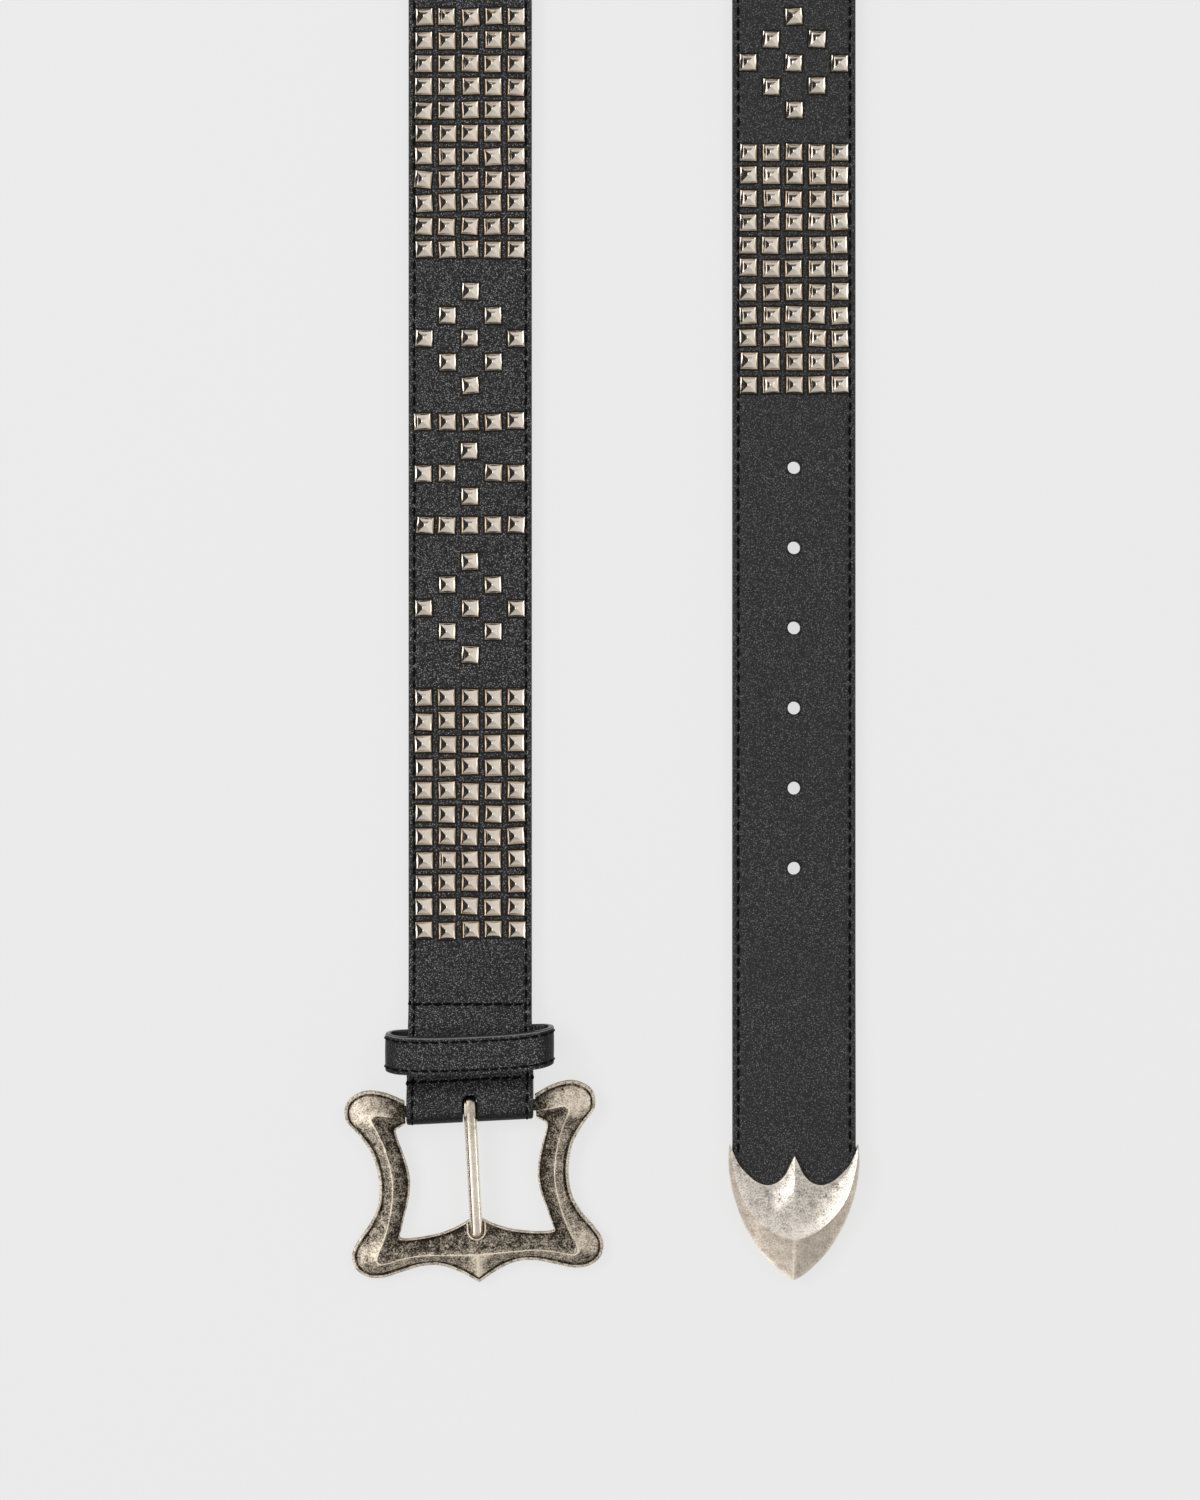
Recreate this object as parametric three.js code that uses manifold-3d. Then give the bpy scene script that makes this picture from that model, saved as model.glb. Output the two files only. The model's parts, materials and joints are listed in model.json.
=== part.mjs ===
// A studded leather belt, unbuckled and laid on a flat surface in the shape of a U.
// Millimetres, +Z up. The strap lies face up in two parallel legs, with the buckle on the left leg
// and the metal tip on the right one. Between them it stands on its edge and goes round a half turn.
// The origin is the middle of the box round the belt, on the surface that it lies on.

import * as THREE from "three";
import { mergeVertices } from "three/addons/utils/BufferGeometryUtils.js";
import Module from "manifold-3d";

// Strap: a face ply that carries the studs, and a thinner lining ply behind it.
const STRAP_WIDTH = 38.5;
const FACE_THICKNESS = 2.2;
const LINING_THICKNESS = 1.3;
const PLY_GAP = 0.3;
const STRAP_THICKNESS = LINING_THICKNESS + PLY_GAP + FACE_THICKNESS;

// Lengths along the strap are counted from the buckle's bar. The tip's point is where they end.
const FIRST_STUD_ROW = 55.5;
const LAST_STUD_ROW_TO_POINT = 279;
const LEG_SPACING = 101;
const POINT_BELOW_BAR = 53.6;
const TWIST_LENGTH = 104;
const UPRIGHT_SHARE = 0.28;

// Pyramid studs, in blocks of full rows with an open pattern between one block and the next.
const STUD_SIZE = 5.5;
const STUD_HEIGHT = 2.3;
const STUD_SUNK = 0.5;
const STUD_COLUMNS = 5;
const COLUMN_PITCH = 7.15;
const ROW_PITCH = 7.25;
const BLOCK_ROWS = 11;
const PATTERN_LENGTH = 139.6;
const PATTERN_REPEATS = 3;

// The open pattern, one row each: how far along it lies, as a share of the pattern's length,
// and which of the five columns hold a stud. Two lozenges stand either side of a barred one.
const PATTERN_ROWS = [
  { along: 0.095, columns: [3] },
  { along: 0.147, columns: [2, 4] },
  { along: 0.199, columns: [1, 3, 5] },
  { along: 0.251, columns: [2, 4] },
  { along: 0.303, columns: [3] },
  { along: 0.385, columns: [1, 2, 3, 4, 5] },
  { along: 0.448, columns: [3] },
  { along: 0.5, columns: [1, 2, 4, 5] },
  { along: 0.552, columns: [3] },
  { along: 0.615, columns: [1, 2, 3, 4, 5] },
  { along: 0.697, columns: [3] },
  { along: 0.749, columns: [2, 4] },
  { along: 0.801, columns: [1, 3, 5] },
  { along: 0.853, columns: [2, 4] },
  { along: 0.905, columns: [3] },
];

// Punched holes, counted back from the tip's point.
const HOLE_COUNT = 6;
const HOLE_PITCH = 25;
const HOLE_DIAMETER = 4;
const POINT_TO_FIRST_HOLE = 128.3;

// Buckle end: the face ply goes over the bar and back underneath as a tail.
const BAR_RADIUS = 1.8;
const BAR_CLEARANCE = 0.3;
const BUCKLE_YAW = THREE.MathUtils.degToRad(3);
const LOWER_STITCH = 9;
const UPPER_STITCH = 32.4;
const TAIL_LENGTH = 34.5;
const RISE_LENGTH = 46;
const SKEW_LENGTH = 30;
const END_FLARE = 0.026;
const STITCH_DIP = 1.3;
const FOLD_SHOULDER_DROP = 0.6;
const SLOT_SIDE_GAP = 0.7;
const SLOT_END_GAP = 0.6;

// Keeper loop: its back band goes between the face ply and the tail.
const KEEPER_WIDTH = 11.9;
const KEEPER_SPAN = 52.4;
const KEEPER_THICKNESS = 1.8;
const KEEPER_CLEARANCE = 0.3;
const KEEPER_CORNER = 5;
const KEEPER_POSITION = 19.4;
const KEEPER_ROOM = 4.8;
const KEEPER_LEAN = 0.085;
const KEEPER_SAG = 1.6;
const KEEPER_POINTS = 64;
const KEEPER_YAW = THREE.MathUtils.degToRad(2.4);
const TUNNEL_END_ROOM = 1.25;

// Buckle frame, measured from the bar's axis.
const FRAME_HALF_WIDTH = 39.2;
const FRAME_REACH = 54.6;
const FRAME_UNDERSIDE = 2.3;
const FRAME_EDGE = 0.3;
const FRAME_RIDGE = 2.7;
const FRAME_STEPS = 3;
const SHOULDER_RISE = 0.2;
const BAR_EMBEDDED = 1.5;

// One half of the frame, a row for each section, from the shoulder beside the strap, round the
// upper lobe, down the side, round the lower lobe and in to the point. Each place is a share of
// the half width across and a share of the reach down. The ridge starts low, at SHOULDER_RISE.
const FRAME_SECTIONS = [
  { outer: [0.52, -0.06], ridge: [0.531, 0.033], inner: [0.52, 0.071] },
  { outer: [0.676, -0.112], ridge: [0.638, 0.022], inner: [0.566, 0.09] },
  { outer: [0.842, -0.126], ridge: [0.76, 0.013], inner: [0.592, 0.101] },
  { outer: [0.977, -0.066], ridge: [0.786, 0.029], inner: [0.602, 0.114] },
  { outer: [0.992, 0.029], ridge: [0.778, 0.051], inner: [0.599, 0.132] },
  { outer: [0.906, 0.112], ridge: [0.747, 0.099], inner: [0.587, 0.165] },
  { outer: [0.809, 0.22], ridge: [0.696, 0.194], inner: [0.556, 0.234] },
  { outer: [0.763, 0.339], ridge: [0.656, 0.321], inner: [0.518, 0.339] },
  { outer: [0.755, 0.43], ridge: [0.645, 0.43], inner: [0.51, 0.421] },
  { outer: [0.778, 0.54], ridge: [0.661, 0.531], inner: [0.533, 0.52] },
  { outer: [0.849, 0.637], ridge: [0.699, 0.647], inner: [0.574, 0.615] },
  { outer: [0.939, 0.72], ridge: [0.75, 0.747], inner: [0.602, 0.685] },
  { outer: [1, 0.802], ridge: [0.793, 0.813], inner: [0.615, 0.714] },
  { outer: [0.98, 0.883], ridge: [0.801, 0.846], inner: [0.612, 0.722] },
  { outer: [0.893, 0.934], ridge: [0.783, 0.863], inner: [0.599, 0.727] },
  { outer: [0.768, 0.945], ridge: [0.727, 0.861], inner: [0.561, 0.731] },
  { outer: [0.612, 0.918], ridge: [0.602, 0.839], inner: [0.472, 0.729] },
  { outer: [0.446, 0.89], ridge: [0.459, 0.826], inner: [0.37, 0.72] },
  { outer: [0.306, 0.892], ridge: [0.306, 0.828], inner: [0.255, 0.703] },
  { outer: [0.158, 0.932], ridge: [0.153, 0.833], inner: [0.128, 0.668] },
  { outer: [0, 1], ridge: [0, 0.837], inner: [0, 0.615] },
];

// Prong: a flat eye curled round the bar and a round shaft that lies in the frame's notch.
const PRONG_RADIUS = 2;
const PRONG_LENGTH = 40.3;
const PRONG_EYE_CLEARANCE = 0.3;
const PRONG_EYE_THICKNESS = 1.9;
const NOTCH_CLEARANCE = 0.35;

// Metal tip: a cast cap over the strap's tapered end, measured from its point.
const CAP_HALF_WIDTH = 20.4;
const CAP_LENGTH = 42;
const CAP_BACK_WALL = 0.8;
const CAP_CLEARANCE = 0.3;
const CAP_FRONT_WALL = 0.9;
const CAP_CREST_RISE = 1.5;
const CAP_BOWL_SINK = 0.25;
const CAP_RIM_HEIGHT = 4;
const STRAP_TAPER_START = 34;
const STRAP_END_INSET = 16;
const STRAP_END_SHARE = 0.58;
const TIP_LIFT_LENGTH = 60;

// One half of the cap, a row for each section, from the side horn in to the middle. Across is a
// share of the half width and up a share of the length. Rib is the bowl's share of the crest.
const CAP_SECTIONS = [
  { rim: [0.985, 1], crest: [0.975, 0.994], mouth: [0.965, 0.985], rib: 0 },
  { rim: [1, 0.869], crest: [0.946, 0.864], mouth: [0.848, 0.864], rib: 0 },
  { rim: [0.96, 0.702], crest: [0.877, 0.719], mouth: [0.72, 0.793], rib: 0 },
  { rim: [0.867, 0.536], crest: [0.765, 0.586], mouth: [0.573, 0.736], rib: 0 },
  { rim: [0.719, 0.369], crest: [0.573, 0.464], mouth: [0.412, 0.712], rib: 0.05 },
  { rim: [0.522, 0.219], crest: [0.358, 0.376], mouth: [0.272, 0.731], rib: 0.15 },
  { rim: [0.296, 0.1], crest: [0.167, 0.331], mouth: [0.142, 0.793], rib: 0.4 },
  { rim: [0.123, 0.032], crest: [0.069, 0.319], mouth: [0.059, 0.876], rib: 0.7 },
  { rim: [0, 0], crest: [0, 0.317], mouth: [0, 0.938], rib: 1 },
];
const CAP_STEPS = 2;

// Places that follow from the sizes above.
const legRadius = LEG_SPACING / 2;
const blockLength = (BLOCK_ROWS - 1) * ROW_PITCH;
const studdedLength = (PATTERN_REPEATS + 1) * blockLength + PATTERN_REPEATS * PATTERN_LENGTH;
const strapLength = FIRST_STUD_ROW + studdedLength + LAST_STUD_ROW_TO_POINT;
const turnLength = Math.PI * legRadius;
const turnStart = (strapLength - turnLength - POINT_BELOW_BAR) / 2;
const turnMiddle = turnStart + turnLength / 2;
const twistStart = turnMiddle - turnLength * UPRIGHT_SHARE - TWIST_LENGTH;
const foldRadius = BAR_RADIUS + BAR_CLEARANCE + FACE_THICKNESS;
const barHeight = foldRadius;
const tunnelHeight = KEEPER_THICKNESS + 2 * KEEPER_CLEARANCE;
const faceOverKeeper = FACE_THICKNESS + tunnelHeight + FACE_THICKNESS;
const capLift = CAP_BACK_WALL + CAP_CLEARANCE;
const strapEnd = strapLength - STRAP_END_INSET;
const liftEnd = strapLength - CAP_LENGTH;
const liftStart = liftEnd - TIP_LIFT_LENGTH;

// How finely curves and rounds are divided.
const TWIST_STEPS = 56;
const LIFT_STEPS = 3;
const SIDE_VIEW_STEPS = 10;
const HOLE_SIDES = 16;
const BAR_SIDES = 20;
const EYE_SIDES = 24;
const ROD_SIDES = 16;
const ROD_TIP_STEPS = 6;

// Shop tools: turning three.js geometries into solids and back, and lofting.
const MERGE_DISTANCE = 1e-4;
const wasm = await Module();
wasm.setup();

function solidOf(geometry) {
  const bare = geometry.index ? geometry.toNonIndexed() : geometry.clone();
  bare.deleteAttribute("normal");
  bare.deleteAttribute("uv");
  const merged = mergeVertices(bare, MERGE_DISTANCE);
  const corners = merged.index.array;
  const triangles = [];
  for (let i = 0; i < corners.length; i += 3) {
    const [a, b, c] = corners.slice(i, i + 3);
    if (a !== b && b !== c && c !== a) triangles.push(a, b, c);
  }
  return new wasm.Manifold(
    new wasm.Mesh({
      numProp: 3,
      vertProperties: new Float32Array(merged.attributes.position.array),
      triVerts: new Uint32Array(triangles),
    }),
  );
}

function geometryOf(solid) {
  const mesh = solid.getMesh();
  const geometry = new THREE.BufferGeometry();
  geometry.setAttribute("position", new THREE.BufferAttribute(mesh.vertProperties, 3));
  geometry.setIndex(new THREE.BufferAttribute(mesh.triVerts, 1));
  geometry.computeVertexNormals();
  return geometry;
}

// A closed body through loops of points that run anticlockwise as seen from the first one's side.
// The second half of each loop is split the other way, so that a strap's two faces stay parallel.
function loft(loops) {
  const count = loops[0].length;
  const positions = loops.flat().flatMap((point) => point.toArray());
  const faces = [];
  for (let i = 0; i + 1 < loops.length; i++) {
    for (let j = 0; j < count; j++) {
      const here = i * count + j;
      const beside = i * count + ((j + 1) % count);
      if (j < count / 2) {
        faces.push(here, here + count, beside, beside, here + count, beside + count);
      } else {
        faces.push(here, here + count, beside + count, here, beside + count, beside);
      }
    }
  }
  const last = (loops.length - 1) * count;
  for (let j = 1; j + 1 < count; j++) {
    faces.push(0, j, j + 1, last, last + j + 1, last + j);
  }
  const geometry = new THREE.BufferGeometry();
  geometry.setAttribute("position", new THREE.Float32BufferAttribute(positions, 3));
  geometry.setIndex(faces);
  return geometry;
}

function mapPoints(geometry, place) {
  const position = geometry.attributes.position;
  const point = new THREE.Vector3();
  for (let i = 0; i < position.count; i++) {
    point.fromBufferAttribute(position, i);
    const moved = place(point);
    position.setXYZ(i, moved.x, moved.y, moved.z);
  }
  return geometry;
}

// Smooth points through the given ones, with so many steps from each to the next.
function smoothThrough(points, steps) {
  const flat = points.map(([across, along]) => new THREE.Vector3(across, along, 0));
  const curve = new THREE.CatmullRomCurve3(flat, false, "centripetal");
  return curve.getPoints((points.length - 1) * steps);
}

function ramp(value, from, to) {
  return THREE.MathUtils.smoothstep(value, Math.min(from, to), Math.max(from, to));
}

// The strap's route. Every piece on the strap is placed through strapPoint, by its distance
// along the strap, its distance across it and its height over the strap's underside.
function twistAngle(along) {
  const fromMiddle = Math.abs(along - turnMiddle);
  const twistEnds = turnMiddle - twistStart;
  return (Math.PI / 2) * (1 - ramp(fromMiddle, twistEnds - TWIST_LENGTH, twistEnds));
}

function strapFrame(along) {
  const turned = THREE.MathUtils.clamp((along - turnStart) / legRadius, 0, Math.PI);
  const beyond = Math.max(0, along - turnStart - turnLength);
  const forward = new THREE.Vector3(Math.sin(turned), Math.cos(turned), 0);
  const outward = new THREE.Vector3(-Math.cos(turned), Math.sin(turned), 0);
  const twist = twistAngle(along);
  const face = new THREE.Vector3(0, 0, Math.cos(twist)).addScaledVector(outward, Math.sin(twist));
  const across = new THREE.Vector3().crossVectors(forward, face);
  const middleHeight = (STRAP_WIDTH * Math.sin(twist) + STRAP_THICKNESS * Math.cos(twist)) / 2;
  const underside = outward.clone().multiplyScalar(legRadius);
  underside.y += Math.min(along, turnStart) - beyond;
  underside.z += middleHeight + capLift * ramp(along, liftStart, liftEnd);
  underside.addScaledVector(face, -STRAP_THICKNESS / 2);
  return { underside, forward, face, across };
}

function strapPoint(along, aside, height) {
  const { underside, face, across } = strapFrame(along);
  const nearBuckle = 1 - ramp(along, LOWER_STITCH, SKEW_LENGTH);
  const point = underside.clone();
  point.addScaledVector(across, aside * (1 + END_FLARE * nearBuckle));
  point.addScaledVector(face, height);
  point.y += aside * Math.tan(BUCKLE_YAW) * nearBuckle;
  return point;
}

// The place and direction of a thing that sits square on the strap's surface there.
function strapMatrix(along, aside, height) {
  const { across } = strapFrame(along);
  const ahead = strapPoint(along + 1, aside, height).sub(strapPoint(along - 1, aside, height));
  const face = new THREE.Vector3().crossVectors(across, ahead).normalize();
  const forward = new THREE.Vector3().crossVectors(face, across);
  const matrix = new THREE.Matrix4().makeBasis(across, forward, face);
  return matrix.setPosition(strapPoint(along, aside, height));
}

// Half the strap's width, which tapers where the cap covers its end.
function halfWidthAt(along) {
  const taperStart = strapLength - STRAP_TAPER_START;
  const tapered = THREE.MathUtils.clamp((along - taperStart) / (strapEnd - taperStart), 0, 1);
  return (STRAP_WIDTH / 2) * THREE.MathUtils.lerp(1, STRAP_END_SHARE, tapered);
}

// The stations where the strap's sections lie, closer together where it twists and turns.
function strapStations(from) {
  const stations = [from, twistStart];
  const twistEnd = 2 * turnMiddle - twistStart;
  for (let i = 1; i <= TWIST_STEPS; i++) {
    stations.push(THREE.MathUtils.lerp(twistStart, twistEnd, i / TWIST_STEPS));
  }
  for (let i = 0; i <= LIFT_STEPS; i++) {
    stations.push(THREE.MathUtils.lerp(liftStart, liftEnd, i / LIFT_STEPS));
  }
  stations.push(strapLength - STRAP_TAPER_START, strapEnd);
  return stations.sort((a, b) => a - b);
}

function ribbon(from, bottom, top) {
  const loops = strapStations(from).map((along) => {
    const half = halfWidthAt(along);
    return [
      strapPoint(along, -half, bottom),
      strapPoint(along, 0, bottom),
      strapPoint(along, half, bottom),
      strapPoint(along, half, top),
      strapPoint(along, 0, top),
      strapPoint(along, -half, top),
    ];
  });
  return loft(loops);
}

// The punched holes, as pegs that are cut out of both plies.
function holePegs() {
  const pegs = [];
  for (let i = 0; i < HOLE_COUNT; i++) {
    const along = strapLength - POINT_TO_FIRST_HOLE - i * HOLE_PITCH;
    const peg = new THREE.CylinderGeometry(
      HOLE_DIAMETER / 2, HOLE_DIAMETER / 2, 4 * STRAP_THICKNESS, HOLE_SIDES,
    );
    peg.rotateX(Math.PI / 2);
    peg.applyMatrix4(strapMatrix(along, 0, STRAP_THICKNESS / 2));
    pegs.push(solidOf(peg));
  }
  return wasm.Manifold.union(pegs);
}

// Where every stud lies: its distance along the strap and its column.
function studPlaces() {
  const places = [];
  const repeat = blockLength + PATTERN_LENGTH;
  for (let block = 0; block <= PATTERN_REPEATS; block++) {
    const start = FIRST_STUD_ROW + block * repeat;
    for (let row = 0; row < BLOCK_ROWS; row++) {
      for (let column = 1; column <= STUD_COLUMNS; column++) {
        places.push({ along: start + row * ROW_PITCH, column });
      }
    }
    const pattern = block < PATTERN_REPEATS ? PATTERN_ROWS : [];
    for (const { along, columns } of pattern) {
      for (const column of columns) {
        places.push({ along: start + blockLength + along * PATTERN_LENGTH, column });
      }
    }
  }
  return places;
}

// A pyramid whose foot is sunk into the leather, so that it is STUD_SIZE wide at the surface.
function stud(along, column) {
  const height = STUD_HEIGHT + STUD_SUNK;
  const footSize = (STUD_SIZE * height) / STUD_HEIGHT;
  const pyramid = new THREE.ConeGeometry(footSize * Math.SQRT1_2, height, 4, 1);
  pyramid.rotateY(Math.PI / 4);
  pyramid.rotateX(Math.PI / 2);
  pyramid.translate(0, 0, height / 2 - STUD_SUNK);
  const aside = (column - (STUD_COLUMNS + 1) / 2) * COLUMN_PITCH;
  pyramid.applyMatrix4(strapMatrix(along, aside, STRAP_THICKNESS));
  return solidOf(pyramid);
}

// A solid with the given side view, as wide as the strap and some more on both sides.
function acrossStrap(side, beyond) {
  const depth = STRAP_WIDTH + 2 * beyond;
  const settings = { depth, bevelEnabled: false, curveSegments: SIDE_VIEW_STEPS };
  const geometry = new THREE.ExtrudeGeometry(side, settings);
  return solidOf(mapPoints(geometry, (p) => strapPoint(p.x, p.z - depth / 2, p.y)));
}

// The buckle end from the side: up over the bar and back as the tail, with a tunnel for the bar
// and a tunnel for the keeper, and joined solid along the two lines of stitches.
function buckleEnd() {
  const keeperHalf = KEEPER_WIDTH / 2 + TUNNEL_END_ROOM;
  const tunnelStart = KEEPER_POSITION - keeperHalf;
  const tunnelEnd = KEEPER_POSITION + keeperHalf;
  const top = barHeight + foldRadius;
  const underFace = LINING_THICKNESS + PLY_GAP;
  const stitchTop = faceOverKeeper - STITCH_DIP;

  const leatherSide = new THREE.Shape();
  leatherSide.moveTo(TAIL_LENGTH, FACE_THICKNESS);
  leatherSide.lineTo(TAIL_LENGTH, 0);
  leatherSide.absarc(0, barHeight, foldRadius, -Math.PI / 2, Math.PI / 2, true);
  leatherSide.splineThru([
    new THREE.Vector2(LOWER_STITCH / 2, top - FOLD_SHOULDER_DROP),
    new THREE.Vector2(LOWER_STITCH, stitchTop),
    new THREE.Vector2(tunnelStart + FACE_THICKNESS, faceOverKeeper),
  ]);
  leatherSide.lineTo(tunnelEnd, faceOverKeeper);
  leatherSide.splineThru([
    new THREE.Vector2(UPPER_STITCH, 2 * FACE_THICKNESS + PLY_GAP),
    new THREE.Vector2(RISE_LENGTH, STRAP_THICKNESS),
  ]);
  leatherSide.lineTo(RISE_LENGTH, underFace);
  leatherSide.lineTo(TAIL_LENGTH + FACE_THICKNESS, underFace);
  leatherSide.closePath();

  const hollow = BAR_RADIUS + BAR_CLEARANCE;
  const barTunnel = new THREE.Shape();
  barTunnel.absarc(0, barHeight, hollow, Math.PI / 2, -Math.PI / 2, false);
  barTunnel.lineTo(LOWER_STITCH - FACE_THICKNESS, FACE_THICKNESS);
  barTunnel.lineTo(LOWER_STITCH - FACE_THICKNESS, stitchTop - FACE_THICKNESS);
  barTunnel.closePath();

  const keeperTunnel = new THREE.Shape();
  keeperTunnel.moveTo(tunnelStart, FACE_THICKNESS);
  keeperTunnel.lineTo(tunnelEnd, FACE_THICKNESS);
  keeperTunnel.lineTo(tunnelEnd, FACE_THICKNESS + tunnelHeight);
  keeperTunnel.lineTo(tunnelStart, FACE_THICKNESS + tunnelHeight);
  keeperTunnel.closePath();

  return acrossStrap(leatherSide, 0)
    .subtract(acrossStrap(barTunnel, FACE_THICKNESS))
    .subtract(acrossStrap(keeperTunnel, FACE_THICKNESS));
}

function prongSlot() {
  const eyeRadius = BAR_RADIUS + PRONG_EYE_CLEARANCE + PRONG_EYE_THICKNESS;
  const slotEnd = eyeRadius + SLOT_END_GAP;
  const slotStart = -2 * foldRadius;
  const slot = new THREE.BoxGeometry(
    2 * (PRONG_RADIUS + SLOT_SIDE_GAP), slotEnd - slotStart, 6 * foldRadius,
  );
  slot.translate(0, (slotEnd + slotStart) / 2, barHeight);
  return mapPoints(slot, (p) => strapPoint(p.y, p.x, p.z));
}

function makeStuddedFace() {
  const flatStart = RISE_LENGTH - FACE_THICKNESS;
  let face = solidOf(ribbon(flatStart, LINING_THICKNESS + PLY_GAP, STRAP_THICKNESS));
  face = face.add(buckleEnd());
  face = face.subtract(holePegs());
  face = face.subtract(solidOf(prongSlot()));
  const studs = studPlaces().map(({ along, column }) => stud(along, column));
  return geometryOf(face.add(wasm.Manifold.union(studs)));
}

function makeLining() {
  const lining = solidOf(ribbon(TAIL_LENGTH + FACE_THICKNESS / 2, 0, LINING_THICKNESS));
  return geometryOf(lining.subtract(holePegs()));
}

// A rectangle with round corners, as the keeper is seen from the end of the strap.
function roundedRectangle(halfWidth, bottom, top, radius) {
  const path = new THREE.Path();
  const quarter = Math.PI / 2;
  path.absarc(halfWidth - radius, bottom + radius, radius, -quarter, 0, false);
  path.absarc(halfWidth - radius, top - radius, radius, 0, quarter, false);
  path.absarc(radius - halfWidth, top - radius, radius, quarter, 2 * quarter, false);
  path.absarc(radius - halfWidth, bottom + radius, radius, 2 * quarter, 3 * quarter, false);
  path.closePath();
  return path.getSpacedPoints(KEEPER_POINTS).slice(0, -1);
}

// The loop's front band leans toward the buckle and sags in its middle.
function makeKeeper() {
  const bottom = FACE_THICKNESS + KEEPER_CLEARANCE;
  const innerTop = faceOverKeeper + KEEPER_ROOM;
  const top = innerTop + KEEPER_THICKNESS;
  const half = KEEPER_SPAN / 2;
  const outline = new THREE.Shape(roundedRectangle(half, bottom, top, KEEPER_CORNER));
  outline.holes.push(new THREE.Path(roundedRectangle(
    half - KEEPER_THICKNESS, bottom + KEEPER_THICKNESS, innerTop, KEEPER_CORNER - KEEPER_THICKNESS,
  )));
  const geometry = new THREE.ExtrudeGeometry(outline, { depth: KEEPER_WIDTH, bevelEnabled: false });
  const backBand = bottom + KEEPER_THICKNESS / 2;
  return mapPoints(geometry, (p) => {
    const raised = Math.max(0, p.y - backBand);
    const sag = KEEPER_SAG * (1 - (p.x / half) ** 2) * (raised / (top - backBand));
    const along = KEEPER_POSITION + KEEPER_WIDTH / 2 - p.z;
    const shift = p.x * Math.tan(KEEPER_YAW) - raised * KEEPER_LEAN - sag;
    return new THREE.Vector3(p.x - legRadius, along + shift, p.y);
  });
}

// Both halves of a piece from the sections of one half, which end on the middle line.
function mirrored(rows) {
  const other = rows.slice(0, -1).map((row) => row.map((p) => new THREE.Vector3(-p.x, p.y, p.z)));
  return [...rows, ...other.reverse()];
}

function makeFrame() {
  const contour = (name) => smoothThrough(
    FRAME_SECTIONS.map((row) => [row[name][0] * FRAME_HALF_WIDTH, -row[name][1] * FRAME_REACH]),
    FRAME_STEPS,
  );
  const outer = contour("outer");
  const ridge = contour("ridge");
  const inner = contour("inner");
  const half = outer.map((edge, i) => {
    const rise = THREE.MathUtils.lerp(SHOULDER_RISE, 1, Math.min(1, i / FRAME_STEPS));
    const ridgeHeight = FRAME_EDGE + (FRAME_RIDGE - FRAME_EDGE) * rise;
    return [
      new THREE.Vector3(edge.x, edge.y, -FRAME_UNDERSIDE),
      new THREE.Vector3(inner[i].x, inner[i].y, -FRAME_UNDERSIDE),
      new THREE.Vector3(inner[i].x, inner[i].y, FRAME_EDGE),
      new THREE.Vector3(ridge[i].x, ridge[i].y, ridgeHeight),
      new THREE.Vector3(edge.x, edge.y, FRAME_EDGE),
    ];
  });
  const horns = solidOf(loft(mirrored(half)));

  const shoulder = FRAME_SECTIONS[0].outer[0] * FRAME_HALF_WIDTH;
  const bar = new THREE.CylinderGeometry(
    BAR_RADIUS, BAR_RADIUS, 2 * (shoulder + BAR_EMBEDDED), BAR_SIDES,
  );
  bar.rotateZ(Math.PI / 2);

  const notch = roundEndedRod(PRONG_RADIUS + NOTCH_CLEARANCE, PRONG_LENGTH + NOTCH_CLEARANCE);
  return geometryOf(horns.add(solidOf(bar)).subtract(solidOf(notch)));
}

// A rod with a round far end that lies along the buckle, over the bar.
function roundEndedRod(radius, length) {
  const profile = new THREE.Path();
  profile.moveTo(0, 0);
  profile.lineTo(radius, 0);
  profile.lineTo(radius, length - radius);
  profile.absarc(0, length - radius, radius, 0, Math.PI / 2, false);
  const rod = new THREE.LatheGeometry(profile.getPoints(ROD_TIP_STEPS), ROD_SIDES);
  rod.rotateZ(Math.PI);
  rod.translate(0, 0, PRONG_RADIUS);
  return rod;
}

function makeProng() {
  const inside = BAR_RADIUS + PRONG_EYE_CLEARANCE;
  const outside = inside + PRONG_EYE_THICKNESS;
  const eye = new THREE.LatheGeometry([
    new THREE.Vector2(inside, -PRONG_RADIUS),
    new THREE.Vector2(outside, -PRONG_RADIUS),
    new THREE.Vector2(outside, PRONG_RADIUS),
    new THREE.Vector2(inside, PRONG_RADIUS),
    new THREE.Vector2(inside, -PRONG_RADIUS),
  ], EYE_SIDES);
  eye.rotateZ(Math.PI / 2);
  const hollow = new THREE.CylinderGeometry(inside, inside, 4 * PRONG_RADIUS, EYE_SIDES);
  hollow.rotateZ(Math.PI / 2);
  const shaft = solidOf(roundEndedRod(PRONG_RADIUS, PRONG_LENGTH)).subtract(solidOf(hollow));
  return geometryOf(solidOf(eye).add(shaft));
}

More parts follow.
